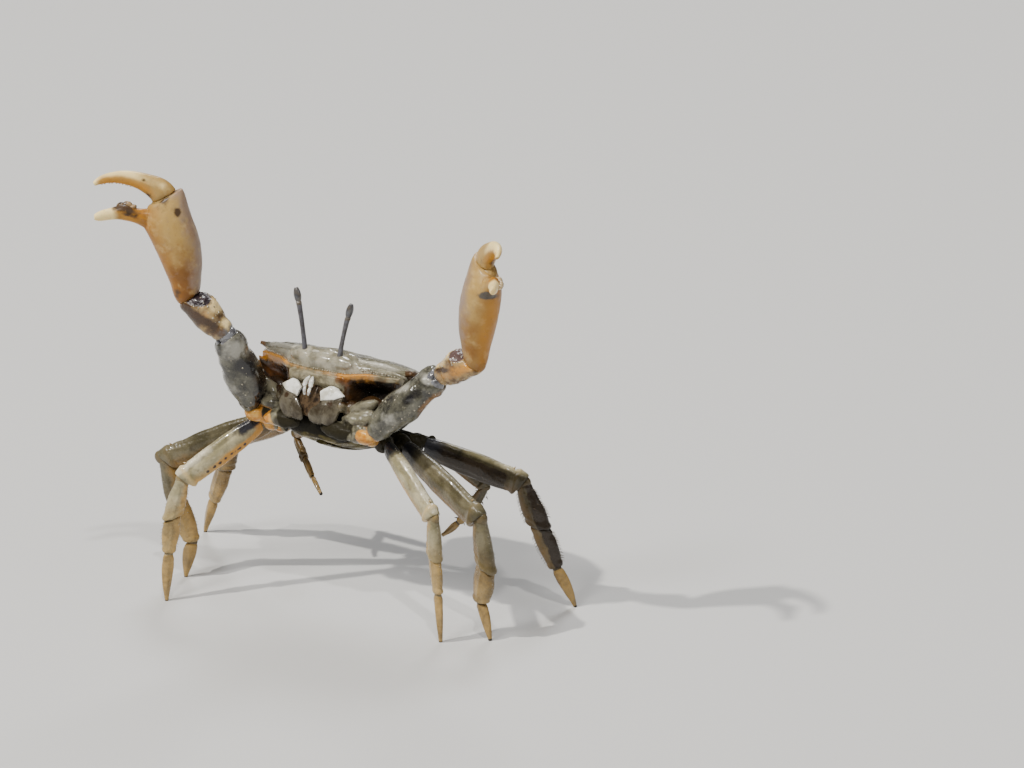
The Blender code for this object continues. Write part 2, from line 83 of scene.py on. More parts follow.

# Stains, painted shade and painted highlights, by the pieces and marks that they belong to.
# Each is a soft oval on the side that the photograph shows: its strength, its middle's column
# and row, its half width and half height in pixels, and its turn in degrees.
PAINTED_OVALS = {
    "right_claw_merus": {
        # On the right merus the first dark oval is a painted shadow cast by the carpus, and the first pale
        # oval is lighter shell with a painted highlight
        "wet": ((1.2, 247, 368, 13, 8, 15), (0.8, 262, 396, 7, 18, 0)),
        "pale": ((1.1, 239, 349, 14, 11, 0), (0.45, 236, 388, 8, 10, 0)),
    },
    "left_claw_merus": {
        # On the left merus the pale ovals are lighter patches with a painted highlight
        "wet": ((0.75, 414, 397, 20, 7, -40), (0.6, 392, 398, 8, 5, -35)),
        "pale": ((0.7, 391, 419, 9, 9, 0), (0.9, 430, 379, 10, 7, 0), (0.8, 405, 388, 10, 5, -35)),
        "rust": ((1.0, 431, 403, 20, 5, -42),),
    },
    "right_claw_carpus": {
        "cream": ((1.0, 219, 307, 7, 9, 30), (0.9, 231, 324, 7, 8, 40)),
        # The first brown oval, on the left edge under the palm, is painted shade; the others are brown
        # patches
        "brown": ((1.0, 188, 308, 8, 13, -25), (0.8, 199, 317, 12, 7, 35),
                  (1.0, 214, 326, 14, 6, 35), (0.7, 222, 316, 5, 5, 0)),
        "orange": ((0.5, 209, 315, 6, 5, 0),),
        "oval": ((1.0, 201, 299, 14, 8.5, 12),),
    },
    "left_claw_carpus": {
        "cream": ((1.0, 448, 352, 14, 7, -30), (0.8, 437, 365, 7, 8, 0)),
        "brown": ((1.2, 443, 370.5, 8, 3.5, 5),),
        "orange": ((1.0, 460, 371, 20, 7, -20), (0.6, 440, 361, 5, 8, 0)),
        "oval": ((1.0, 459, 355, 9.5, 7, -35),),
    },
    "right_palm": {
        "dirt": ((0.7, 125, 207, 11, 4.5, -25), (1.3, 182.5, 215, 3.4, 4.0, 0), (0.9, 169, 201, 7, 6, -15),
                 (0.7, 181, 295, 5, 7, 0), (0.35, 162, 214, 16, 9, 0)),
        "grey": ((0.8, 152, 203, 3, 4, 0), (0.40, 188, 222, 9, 28, -10)),
    },
    "left_palm": {
        "tan": ((0.6, 494, 312, 8, 18, 0), (0.55, 486, 340, 9, 24, 0)),
        "dirt": ((0.8, 492, 270, 7, 3, 0),),
        "grey": ((0.5, 486, 266, 3, 8, 0),),
        "under_fingers": ((1.3, 488, 298, 10.5, 4.0, 0),),
    },
    "right_claw_dactyl": {
        # The ivory oval at the finger's base is ivory shell with a painted highlight
        "ivory": ((0.55, 167, 189, 9, 5, 30),),
        "dirt": ((0.9, 149, 183, 3.2, 2.4, 0), (0.8, 153, 199, 4, 4, 0)),
        "grey": ((0.5, 156, 201, 4, 3, 0),),
    },
    "left_claw_dactyl": {
        "dirt": ((0.6, 495, 266, 6, 5, 0),),
        "grey": ((0.5, 482, 264, 3, 7, 0),),
    },
    "face": {
        "rust": ((0.9, 344, 379, 9, 6, 10), (0.6, 368, 378, 22, 4, 10), (0.4, 352, 391, 7, 12, 0),
                 (0.9, 273, 368, 10, 9, 0), (0.6, 284, 379, 8, 10, 0)),
    },
    "right_cheek": {"rust": ((0.5, 273, 372, 9, 9, 0),)},
}
# A pixel on the middle line of the left palm, and half the palm's width there
LEFT_PALM_MIDDLE = (479, 312)
LEFT_PALM_HALF_WIDTH = 18
# The row of beads on the band under the left eyestalk: its first pixel and its step
BAND_BEADS_START = (353.0, 366.0)
BAND_BEADS_STEP = (2.0, 0.55)


# Numbers on arrays of points


def smoothstep(values, low, high):
    share = np.clip((values - low) / (high - low), 0, 1)
    return share * share * (3 - 2 * share)


def bump_at(values, centre, width):
    return np.exp(-((values - centre) / width) ** 2)


def value_noise(points, size, seed):
    """Smooth noise from -1 to 1 whose lumps are about that many millimetres across."""
    cells = points / size + seed * 7.31
    whole = np.floor(cells).astype(np.int64)
    part = cells - whole
    part = part * part * (3 - 2 * part)
    total = np.zeros(len(points))
    for corner in range(8):
        step = np.array([corner & 1, corner >> 1 & 1, corner >> 2 & 1])
        key = whole + step
        mixed = key[:, 0] * 374761393 + key[:, 1] * 668265263 + key[:, 2] * 1442695041
        mixed = (mixed ^ (mixed >> 13)) * 1274126177
        value = ((mixed ^ (mixed >> 16)) & 0xFFFF) / 32767.5 - 1
        total += value * np.prod(np.where(step, part, 1 - part), axis=1)
    return total


# Frames


def to_trunk(points):
    """How far out, back and up points of the crab's frame are in the trunk's frame."""
    c, s = cos(TRUNK_PITCH), sin(TRUNK_PITCH)
    x, y, z = (points - TRUNK_ORIGIN).T
    return x, c * y - s * z, s * y + c * z


def trunk_way(x, y, z):
    """A direction of the trunk's frame, in the crab's frame."""
    return Matrix.Rotation(-TRUNK_PITCH, 3, "X") @ Vector((x, y, z))


def trunk_point(x, y, z):
    """One point of the trunk's frame, in the crab's frame."""
    return trunk_way(x, y, z) + Vector(TRUNK_ORIGIN)


def view_frame():
    """The picture's right, its up, the way back to the camera, and the point looked at."""
    a, e, r = VIEW_AZIMUTH, VIEW_ELEVATION, VIEW_ROLL
    right = Vector((cos(a), sin(a), 0))
    up = Vector((-sin(a) * sin(e), cos(a) * sin(e), cos(e)))
    back = Vector((sin(a) * cos(e), -cos(a) * cos(e), sin(e)))
    target = right * VIEW_TARGET[0] + up * VIEW_TARGET[1] + Vector((TRUNK_ORIGIN[0], TRUNK_ORIGIN[1], 0))
    return right * cos(r) - up * sin(r), up * cos(r) + right * sin(r), back, target


def heading(side, forward, rise):
    forward, rise = radians(forward), radians(rise)
    return Vector((SIGN[side] * cos(forward) * cos(rise), -sin(forward) * cos(rise), sin(rise)))


# Materials


class Finish:
    """A Principled material, painted layer over layer with short calls.

    A noise is given as its size in millimetres, detail, roughness, distortion and seed.
    A layer starts where its noise or mark is at the first limit, and is full at the second.
    """

    def __init__(self, name, coat=0.0, coat_roughness=0.08, subsurface=0.0, specular=0.5):
        self.material = bpy.data.materials.new(name)
        self.material.use_nodes = True
        self.tree = self.material.node_tree
        self.inputs = self.tree.nodes["Principled BSDF"].inputs
        self.inputs["Coat Weight"].default_value = coat
        self.inputs["Coat Roughness"].default_value = coat_roughness
        self.inputs["Specular IOR Level"].default_value = specular
        if subsurface:
            self.inputs["Subsurface Weight"].default_value = subsurface
            self.inputs["Subsurface Radius"].default_value = (0.0012, 0.0007, 0.0004)
            self.inputs["Subsurface Scale"].default_value = 1.0
        self.place = self.node("TexCoord", {})["Object"]
        self.colour = None
        self.normal = None

    def feed(self, socket, value):
        if isinstance(value, bpy.types.NodeSocket):
            self.tree.links.new(value, socket)
        elif isinstance(value, tuple) and len(value) == 3:
            socket.default_value = (*value, 1)
        else:
            socket.default_value = value

    def node(self, kind, entries, **settings):
        """The outputs of a new node, whose inputs are fed by name or by number."""
        node = self.tree.nodes.new("ShaderNode" + kind)
        for name, setting in settings.items():
            setattr(node, name, setting)
        for socket, value in entries.items():
            self.feed(node.inputs[socket], value)
        return node.outputs

    def noise(self, size, detail=3.0, roughness=0.55, distortion=0.0, seed=0.0):
        entries = {"Vector": self.place, "W": seed, "Scale": 1000.0 / size, "Detail": detail,
                   "Roughness": roughness, "Distortion": distortion}
        return self.node("TexNoise", entries, noise_dimensions="4D")["Fac"]

    def cells(self, size):
        return self.node("TexVoronoi", {"Vector": self.place, "Scale": 1000.0 / size})["Distance"]

    def mark(self, name):
        return self.node("Attribute", {}, attribute_name=name)["Fac"]

    def span(self, value, low, high, to_low=0.0, to_high=1.0):
        entries = {"Value": value, "From Min": low, "From Max": high, "To Min": to_low, "To Max": to_high}
        return self.node("MapRange", entries, interpolation_type="SMOOTHSTEP")["Result"]

    def add(self, first, second):
        return self.node("Math", {0: first, 1: second}, operation="ADD")["Value"]

    def mix(self, share, first, second, kind="MIX"):
        return self.node("Mix", {0: share, 6: first, 7: second}, data_type="RGBA", blend_type=kind)[2]

    def ragged(self, name, low, high, size, amount, seed=0):
        """A mark's soft threshold, whose edge wanders with noise."""
        wander = self.span(self.noise(size, seed=seed), 0.2, 0.8, -amount, amount)
        return self.span(self.add(self.mark(name), wander), low, high)

    def two_tone(self, noise, low, high, first, second):
        return self.mix(self.span(self.noise(*noise), low, high), first, second)

    def cover(self, share, colour, kind="MIX"):
        """Paint over the colour so far."""
        self.colour = self.mix(share, self.colour, colour, kind)

    def patch(self, name, low, high, size, amount, seed, colour):
        """Paint where a mark is, with a wandering edge."""
        self.cover(self.ragged(name, low, high, size, amount, seed), colour)

    def mottle(self, size, seed, low, high, share, colour, detail=4, roughness=0.55, distortion=0.0):
        """Paint blotches that cover up to a share of what is under them."""
        blotches = self.noise(size, detail, roughness, distortion, seed)
        self.cover(self.span(blotches, low, high, 0.0, share), colour)

    def relief(self, height, strength, depth):
        entries = {"Strength": strength, "Distance": depth * MM, "Height": height}
        if self.normal:
            entries["Normal"] = self.normal
        self.normal = self.node("Bump", entries)["Normal"]

    def shell_relief(self, grain, depth):
        """Fine granules and shallow pits, as all the glistening shell has."""
        self.relief(self.cells(grain), 0.5, depth)
        self.relief(self.noise(1.1, 4), 0.35, 0.12)

    def coat_by(self, name, low, high, bare, marked):
        """A glossy coat that is one weight where a mark is, and another elsewhere."""
        self.feed(self.inputs["Coat Weight"], self.span(self.mark(name), low, high, bare, marked))

    def done(self, size, low, high, seed=2, dulled=None):
        """The material, with a roughness that varies over about that size."""
        roughness = low if low == high else self.span(self.noise(size, seed=seed), 0.3, 0.7, low, high)
        if dulled:
            roughness = self.add(roughness, dulled)
        self.feed(self.inputs["Base Color"], self.colour)
        self.feed(self.inputs["Roughness"], roughness)
        self.feed(self.inputs["Normal"], self.normal)
        return self.material


def claw_finish():
    f = Finish("claw_shell_cream_to_ochre", coat=0.12, coat_roughness=0.22, subsurface=0.10, specular=0.25)
    f.colour = f.mix(f.ragged("along", 0.20, 0.62, 3.0, 0.15), (0.19, 0.074, 0.010), (0.41, 0.265, 0.082))
    f.patch("high", 0.00, 0.85, 2.6, 0.20, 2, (0.33, 0.130, 0.008))
    f.patch("high", -0.35, -0.95, 2.0, 0.20, 4, (0.29, 0.205, 0.150))
    f.mottle(2.4, 17, 0.46, 0.70, 0.45, (0.24, 0.115, 0.028), 5, 0.65, 0.4)
    f.mottle(1.3, 7, 0.52, 0.74, 0.45, (0.60, 0.42, 0.17), 5)
    f.mottle(0.8, 27, 0.55, 0.72, 0.30, (0.26, 0.18, 0.12), 5)
    f.patch("ivory", 0.10, 0.95, 1.4, 0.20, 5, (0.96, 0.75, 0.34))
    f.cover(f.mark("tan"), (0.56, 0.250, 0.022))
    f.mottle(0.32, 8, 0.60, 0.72, 0.35, (0.18, 0.085, 0.028), 3)
    f.patch("grey", 0.30, 0.80, 0.8, 0.15, 11, (0.085, 0.074, 0.062))
    f.patch("dirt", 0.22, 0.85, 0.8, 0.25, 9, (0.060, 0.034, 0.016))
    f.relief(f.noise(0.5, 4, seed=3), 0.25, 0.05)
    f.relief(f.noise(2.2, 3, seed=6), 0.30, 0.20)
    return f.done(1.5, 0.32, 0.50, seed=12)


def wrist_finish():
    f = Finish("wrist_shell_mottled", coat=0.50, coat_roughness=0.05, specular=0.25)
    f.colour = f.two_tone((1.8, 4, 0.55, 0.3), 0.38, 0.62, (0.44, 0.30, 0.125), (0.110, 0.060, 0.026))
    f.patch("cream", 0.10, 0.85, 1.0, 0.25, 8, (0.80, 0.61, 0.29))
    f.patch("orange", 0.20, 0.90, 1.2, 0.20, 3, (0.50, 0.225, 0.035))
    f.mottle(0.9, 5, 0.55, 0.72, 0.5, (0.080, 0.052, 0.036))
    f.patch("along", 0.16, -0.06, 0.9, 0.10, 6, (0.125, 0.125, 0.135))
    # Brown patches, and painted shade on the right carpus's left edge
    f.patch("brown", 0.15, 0.95, 1.1, 0.30, 7, (0.050, 0.024, 0.009))
    purple = f.two_tone((0.9, 4, 0.55, 0.0, 15), 0.40, 0.65, (0.012, 0.007, 0.010), (0.042, 0.028, 0.034))
    purple = f.mix(f.mark("mauve"), purple, (0.14, 0.088, 0.078))
    f.cover(f.span(f.mark("oval"), 0.28, 0.44), purple)
    f.shell_relief(0.45, 0.10)
    f.coat_by("oval", 0.15, 0.40, 0.50, 0.06)
    return f.done(0.9, 0.16, 0.36)


def arm_finish():
    f = Finish("arm_shell_wet_grey", coat=0.85, coat_roughness=0.03, specular=0.25)
    f.colour = f.two_tone((2.4, 5, 0.60, 0.4), 0.36, 0.64, (0.022, 0.021, 0.016), (0.125, 0.120, 0.088))
    f.mottle(1.0, 3, 0.52, 0.70, 0.7, (0.018, 0.017, 0.015))
    f.mottle(0.6, 9, 0.58, 0.72, 0.7, (0.235, 0.220, 0.165))
    f.patch("high", -0.50, -1.00, 1.4, 0.25, 4, (0.048, 0.034, 0.020))
    f.patch("rust", 0.25, 0.85, 1.1, 0.25, 8, (0.20, 0.095, 0.025))
    # Lighter shell with painted highlights, then dark wet shell with painted shadow
    f.patch("pale", 0.20, 0.90, 1.3, 0.30, 5, (0.34, 0.33, 0.285))
    f.patch("wet", 0.15, 0.80, 1.3, 0.25, 6, (0.009, 0.008, 0.009))
    f.patch("orange", 0.20, 0.90, 0.9, 0.25, 7, (0.52, 0.23, 0.040))
    f.shell_relief(0.40, 0.12)
    return f.done(0.8, 0.10, 0.32)


def base_finish():
    f = Finish("limb_base_grey_to_orange", coat=0.35, coat_roughness=0.04, specular=0.08)
    f.colour = f.two_tone((1.9, 5, 0.60, 0.4), 0.38, 0.62, (0.045, 0.040, 0.028), (0.200, 0.185, 0.125))
    f.mottle(0.7, 9, 0.58, 0.72, 0.6, (0.34, 0.315, 0.23))
    orange = f.two_tone((0.9, 4, 0.55, 0.0, 4), 0.38, 0.62, (0.52, 0.20, 0.022), (0.68, 0.38, 0.09))
    f.patch("orange", 0.15, 0.90, 1.2, 0.25, 0, orange)
    # Paler lobe tops, and a painted highlight along the top of the orange joint
    f.patch("pale", 0.20, 0.90, 0.9, 0.30, 7, (0.205, 0.185, 0.130))
    # Dark wet skin and painted shade, near the trunk and between the pieces
    f.patch("wet", 0.20, 0.80, 1.1, 0.30, 5, (0.020, 0.017, 0.009))
    f.shell_relief(0.35, 0.08)
    f.coat_by("wet", 0.1, 0.6, 0.60, 0.06)
    return f.done(0.8, 0.14, 0.34, dulled=f.span(f.mark("wet"), 0.1, 0.6, 0.0, 0.25))


def leg_finish():
    f = Finish("leg_shell_olive_to_cream", coat=0.35, coat_roughness=0.05, specular=0.25)
    f.colour = f.two_tone((3.4, 3, 0.5, 0.3), 0.34, 0.66, (0.215, 0.190, 0.100), (0.46, 0.41, 0.255))
    f.patch("high", 0.05, -0.85, 1.6, 0.25, 0, (0.62, 0.37, 0.105))
    f.mottle(1.2, 5, 0.50, 0.74, 0.50, (0.085, 0.064, 0.032), 5, 0.65, 0.3)
    f.mottle(0.5, 6, 0.56, 0.74, 0.45, (0.60, 0.54, 0.36))
    # A painted highlight along the upper edge of the merus
    f.patch("painted_edge_highlight", 0.20, 0.95, 0.9, 0.25, 16, (0.62, 0.57, 0.43))
    golden = f.two_tone((1.9, 4, 0.6, 0.3, 21), 0.36, 0.66, (0.56, 0.350, 0.105), (0.30, 0.195, 0.070))
    f.cover(f.mark("tan"), golden)
    f.mottle(0.8, 13, 0.52, 0.74, 0.45, (0.16, 0.105, 0.045))
    f.cover(f.mark("collar"), (0.60, 0.45, 0.21))
    # Painted shade, multiplied over the leg's colour
    f.cover(f.mark("shade"), (0.125, 0.115, 0.100), "MULTIPLY")
    f.patch("rust", 0.20, 0.90, 1.2, 0.25, 18, (0.56, 0.27, 0.040))
    f.patch("spots", 0.40, 0.60, 0.4, 0.20, 8, (0.050, 0.030, 0.018))
    f.patch("brown", 0.35, 0.70, 0.9, 0.30, 7, (0.024, 0.016, 0.009))
    # Dark wet skin and painted shade at the base of the merus, by the trunk
    f.patch("wet", 0.15, 0.95, 1.2, 0.25, 9, (0.028, 0.028, 0.034))
    f.shell_relief(0.32, 0.08)
    return f.done(0.9, 0.20, 0.44)


def back_finish():
    f = Finish("back_shell_olive", coat=0.25, coat_roughness=0.06, specular=0.20)
    f.colour = f.two_tone((3.2, 5, 0.6, 0.7), 0.38, 0.60, (0.062, 0.056, 0.034), (0.225, 0.208, 0.142))
    f.mottle(1.1, 4, 0.54, 0.66, 1.0, (0.045, 0.038, 0.025))
    f.mottle(0.6, 6, 0.60, 0.72, 1.0, (0.38, 0.35, 0.26))
    f.patch("pale", 0.30, 0.70, 1.6, 0.20, 2, (0.42, 0.40, 0.33))
    # The lateral teeth, painted dark brown as shade
    f.patch("teeth", 0.35, 0.65, 0.8, 0.20, 3, (0.075, 0.038, 0.014))
    f.cover(f.mark("groove"), (0.035, 0.030, 0.020))
    f.relief(f.cells(0.38), 0.6, 0.12)
    f.relief(f.noise(1.0, 4), 0.4, 0.16)
    return f.done(0.9, 0.20, 0.42)


def face_finish():
    f = Finish("front_shell_with_orange_ridge", coat=0.35, coat_roughness=0.06, specular=0.2)
    f.colour = f.two_tone((1.5, 5, 0.65, 0.4), 0.38, 0.62, (0.30, 0.265, 0.175), (0.125, 0.105, 0.060))
    # Dark brown under the ridge, partly painted shade
    f.patch("brown", 0.25, 0.80, 1.1, 0.22, 3, (0.030, 0.014, 0.004))
    f.patch("rust", 0.20, 0.95, 1.1, 0.25, 6, (0.120, 0.042, 0.007))
    # Near-black painted shade in the cheek hollows
    f.patch("hollow", 0.10, 0.95, 1.5, 0.28, 4, (0.006, 0.004, 0.003))
    f.patch("ridge", 0.15, 0.90, 0.8, 0.25, 5, (0.52, 0.225, 0.030))
    f.mottle(0.35, 8, 0.60, 0.72, 0.5, (0.080, 0.055, 0.030), 3)
    f.shell_relief(0.30, 0.06)
    f.coat_by("hollow", 0.2, 0.6, 0.35, 0.03)
    return f.done(0.8, 0.20, 0.42)


def lobe_finish():
    f = Finish("eye_socket_skin_grey", coat=0.7, coat_roughness=0.04, subsurface=0.15, specular=0.3)
    f.colour = f.two_tone((1.8, 5, 0.60, 0.3), 0.38, 0.64, (0.36, 0.335, 0.258), (0.160, 0.146, 0.100))
    f.mottle(0.5, 4, 0.58, 0.72, 0.6, (0.12, 0.100, 0.066), 3)
    f.patch("orange", 0.35, 0.70, 0.8, 0.25, 6, (0.50, 0.29, 0.10))
    f.relief(f.noise(0.9, 4), 0.30, 0.08)
    return f.done(0.8, 0.12, 0.30)


def mouth_finish():
    f = Finish("mouth_plate_grey_and_white", coat=0.25, coat_roughness=0.06, specular=0.15)
    f.colour = f.two_tone((1.6, 4, 0.55, 0.3), 0.36, 0.64, (0.105, 0.092, 0.066), (0.036, 0.027, 0.016))
    f.patch("brown", 0.35, 0.75, 0.7, 0.20, 3, (0.040, 0.024, 0.013))
    f.patch("rim", 0.35, 0.85, 0.7, 0.25, 6, (0.130, 0.112, 0.074))
    white = f.two_tone((1.2, 4, 0.55, 0.0, 11), 0.45, 0.62, (0.80, 0.80, 0.76), (0.52, 0.50, 0.42))
    f.patch("white", 0.42, 0.58, 0.4, 0.12, 5, white)
    f.shell_relief(0.30, 0.05)
    return f.done(0.8, 0.20, 0.40)


def under_finish():
    f = Finish("breastplate_olive_yellow", coat=0.05, coat_roughness=0.12, specular=0.04)
    f.colour = f.two_tone((2.6, 5, 0.60, 0.4), 0.40, 0.62, (0.100, 0.082, 0.028), (0.026, 0.020, 0.008))
    f.mottle(1.0, 4, 0.60, 0.74, 0.6, (0.26, 0.225, 0.130))
    # Dark wet skin and painted shade where the breastplate lies under other pieces
    f.patch("wet", 0.20, 0.75, 1.2, 0.25, 5, (0.010, 0.009, 0.006))
    f.patch("rim", 0.35, 0.70, 0.8, 0.20, 6, (0.23, 0.195, 0.105))
    f.cover(f.mark("groove"), (0.025, 0.021, 0.013))
    f.shell_relief(0.35, 0.05)
    return f.done(0.9, 0.20, 0.42)


def stalk_finish():
    f = Finish("eyestalk_slate", coat=0.4, coat_roughness=0.10)
    f.colour = f.two_tone((0.9, 4), 0.42, 0.62, (0.085, 0.085, 0.100), (0.050, 0.044, 0.046))
    f.cover(f.span(f.mark("along"), 0.25, 0.0), (0.11, 0.090, 0.070))
    f.relief(f.noise(0.3, 3), 0.3, 0.03)
    return f.done(0.5, 0.28, 0.44)


def eye_finish():
    f = Finish("cornea_slate_facets", coat=0.8, coat_roughness=0.06)
    f.colour = f.two_tone((1.0, 3), 0.40, 0.65, (0.055, 0.058, 0.070), (0.085, 0.075, 0.065))
    f.relief(f.cells(0.10), 0.3, 0.02)
    return f.done(0.5, 0.22, 0.34)


def plain_finish(name, mottling, first, second, grain, roughness, **shine):
    """Two colours in a soft mottle, for the small pieces.

    The mottling is a noise and its two limits, the grain is a noise, a strength and a depth.
    """
    f = Finish(name, **shine)
    f.colour = f.two_tone(*mottling, first, second)
    noise, strength, depth = grain
    f.relief(f.noise(*noise), strength, depth)
    return f.done(*roughness)


PAINT = {
    "claw": claw_finish(), "wrist": wrist_finish(), "arm": arm_finish(), "base": base_finish(),
    "leg": leg_finish(), "back": back_finish(), "face": face_finish(), "lobe": lobe_finish(),
    "mouth": mouth_finish(), "under": under_finish(), "stalk": stalk_finish(), "eye": eye_finish(),
    "palp": plain_finish(
        "palp_white", ((0.8, 4), 0.45, 0.65), (0.80, 0.79, 0.73), (0.58, 0.55, 0.46),
        ((0.3, 3), 0.3, 0.03), (0.5, 0.38, 0.38), coat=0.4, coat_roughness=0.12, subsurface=0.2),
    "mouth_skin": plain_finish(
        "joint_skin_brown", ((0.7, 4), 0.40, 0.62), (0.028, 0.018, 0.011), (0.085, 0.055, 0.030),
        ((0.35, 4), 0.4, 0.06), (0.6, 0.24, 0.42), coat=0.2, coat_roughness=0.10, specular=0.15),
    "bead": plain_finish(
        "shell_beads_cream", ((0.9, 4), 0.40, 0.65), (0.46, 0.42, 0.32), (0.20, 0.17, 0.115),
        ((0.2, 3), 0.3, 0.02), (0.5, 0.12, 0.26), coat=0.9, coat_roughness=0.04),
    "knob": plain_finish(
        "knee_knobs_cream", ((0.9, 4), 0.42, 0.62), (0.58, 0.46, 0.27), (0.33, 0.22, 0.10),
        ((0.3, 3), 0.3, 0.03), (0.5, 0.22, 0.40), coat=0.5, coat_roughness=0.08),
    "elbow": plain_finish(
        "elbow_knobs_blue_grey", ((1.0, 4), 0.42, 0.62), (0.170, 0.175, 0.195), (0.075, 0.073, 0.080),
        ((0.4, 3), 0.3, 0.05), (0.5, 0.14, 0.26), coat=0.9, coat_roughness=0.04),
    "tooth": plain_finish(
        "finger_teeth_stained", ((0.8, 5, 0.65, 0.5), 0.38, 0.62), (0.050, 0.028, 0.013), (0.34, 0.22, 0.10),
        ((0.4, 4), 0.5, 0.08), (0.5, 0.34, 0.55), coat=0.3, coat_roughness=0.15),
    "hair": plain_finish(
        "short_brown_hairs", ((0.8, 3), 0.4, 0.6), (0.055, 0.033, 0.017), (0.12, 0.080, 0.042),
        ((0.3, 3), 0.2, 0.02), (0.5, 0.5, 0.5), coat=0.2, coat_roughness=0.2),
}


# Skins


def modified(holder):
    """The mesh that a helper object's modifiers give; the helper is dropped."""
    bpy.context.scene.collection.objects.link(holder)
    shown = holder.evaluated_get(bpy.context.evaluated_depsgraph_get())
    mesh = bpy.data.meshes.new_from_object(shown)
    raw = holder.data
    bpy.data.objects.remove(holder)
    bpy.data.meshes.remove(raw)
    return mesh


def refined(node, levels):
    """A smooth copy of a CAD node's mesh: merged, its triangles paired, then subdivided."""
    bm = bmesh.new()
    bm.from_mesh(NODES[node].data)
    bmesh.ops.remove_doubles(bm, verts=bm.verts[:], dist=0.00001)
    bmesh.ops.join_triangles(bm, faces=bm.faces[:], angle_face_threshold=radians(50),
                             angle_shape_threshold=radians(75))
    crease = bm.edges.layers.float.new("crease_edge")
    for edge in bm.edges:
        edge[crease] = 0.55 if edge.calc_face_angle(0) > radians(58) else 0
    cage = bpy.data.meshes.new(node + "_cage")
    bm.to_mesh(cage)
    bm.free()
    for layer in ("custom_normal", "UVMap"):
        if cage.attributes.get(layer):
            cage.attributes.remove(cage.attributes[layer])
    holder = bpy.data.objects.new(node + "_cage", cage)
    smooth = holder.modifiers.new("smooth", "SUBSURF")
    smooth.levels = levels
    smooth.render_levels = levels
    return modified(holder)


def melted(bm, grain, rounds):
    """Closed shapes drawn in millimetres, run together into one skin and smoothed."""
    bmesh.ops.recalc_face_normals(bm, faces=bm.faces[:])
    raw = bpy.data.meshes.new("melting")
    bm.to_mesh(raw)
    bm.free()
    holder = bpy.data.objects.new("melting", raw)
    remesh = holder.modifiers.new("union", "REMESH")
    remesh.mode = "VOXEL"
    remesh.voxel_size = grain
    soften = holder.modifiers.new("soften", "SMOOTH")
    soften.factor = 0.5
    soften.iterations = rounds
    mesh = modified(holder)
    mesh.transform(Matrix.Diagonal((MM, MM, MM, 1)))
    return mesh


def placed(name, mesh, marks, material, stands_for=None):
    """A finished mesh becomes a piece of the crab; a mark is one number or one for each point."""
    for mark, values in marks.items():
        layer = mesh.attributes.new(mark, "FLOAT", "POINT")
        layer.data.foreach_set("value", np.zeros(len(mesh.vertices), np.float32) + np.float32(values))
    for face in mesh.polygons:
        face.use_smooth = True
    mesh.materials.clear()
    mesh.materials.append(PAINT[material])
    piece = bpy.data.objects.new(name, mesh)
    bpy.context.scene.collection.objects.link(piece)
    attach(piece, "root")
    if stands_for:
        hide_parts(stands_for)


class Skin:
    """A sculpted piece, in millimetres: a refined CAD node, or a mesh of its own."""

    def __init__(self, name, levels=3, mesh=None):
        self.name = name
        self.stands_for = None if mesh else name
        self.mesh = mesh or refined(name, levels)
        flat = np.empty(len(self.mesh.vertices) * 3)
        self.mesh.vertices.foreach_get("co", flat)
        self.points = flat.reshape(-1, 3) / MM
        self.marks = {}

    def write(self):
        self.mesh.vertices.foreach_set("co", (self.points * MM).ravel())
        self.mesh.update()

    def normals(self):
        self.write()
        flat = np.empty(len(self.mesh.vertices) * 3)
        self.mesh.vertex_normals.foreach_get("vector", flat)
        return flat.reshape(-1, 3)

    def push(self, amounts):
        self.points += self.normals() * amounts[:, None]

    def roughen(self, coarse, fine, seed):
        """Dents and lumps: their heights in millimetres at two sizes."""
        amounts = coarse * value_noise(self.points, 2.2, seed)
        amounts += 0.5 * coarse * value_noise(self.points, 1.1, seed + 1)
        amounts += fine * value_noise(self.points, 0.5, seed + 2)
        self.push(amounts)

    def done(self, material, slot):
        self.write()
        placed("skin_" + self.name, self.mesh, self.marks, material, self.stands_for)

    def nearest(self, place):
        """The skin's point nearest to a place."""
        return Vector(self.points[np.argmin(np.linalg.norm(self.points - np.array(place), axis=1))])

    def from_pixel(self, column, row):
        """How far each point is from a pixel of the photograph: right, down, and near."""
        right, up, back, target = (np.array(way) for way in view_frame())
        moved = self.points - target
        across = IMAGE_WIDTH / 2 + moved @ right * PIXELS_PER_MM - column
        down = IMAGE_HEIGHT / 2 - moved @ up * PIXELS_PER_MM - row
        return across, down, moved @ back

    def seen_at(self, column, row):
        """The point of the skin that shows at a pixel of the photograph."""
        across, down, near = self.from_pixel(column, row)
        away = np.hypot(across, down)
        return Vector(self.points[np.argmax(np.where(away < away.min() + 2.5, near, -1e9))])

    def paint_ovals(self):
        """Add the piece's own ovals to its marks: stains, painted shade and painted highlights."""
        shown = smoothstep(self.normals() @ np.array(view_frame()[2]), 0.0, 0.25)
        for mark, ovals in PAINTED_OVALS.get(self.name, {}).items():
            for strength, column, row, wide, high, turn in ovals:
                across, down, near = self.from_pixel(column, row)
                c, s = cos(radians(turn)), sin(radians(turn))
                away = np.hypot((across * c + down * s) / wide, (down * c - across * s) / high)
                self.marks[mark] = self.marks.get(mark, 0) + strength * bump_at(away, 0, 1) * shown


# Small shapes


def added(name, bm, material, slot, **marks):
    """A new piece from a bmesh drawn in millimetres, with the same marks all over."""
    bmesh.ops.recalc_face_normals(bm, faces=bm.faces[:])
    bmesh.ops.scale(bm, vec=(MM, MM, MM), verts=bm.verts[:])
    mesh = bpy.data.meshes.new(name)
    bm.to_mesh(mesh)
    bm.free()
    placed(name, mesh, marks, material)


def axes_matrix(centre, first, second, third):
    """A matrix whose columns are three half-axes and a centre."""
    matrix = Matrix.Identity(4)
    for column, vector in enumerate((first, second, third, centre)):
        for row in range(3):
            matrix[row][column] = vector[row]
    return matrix


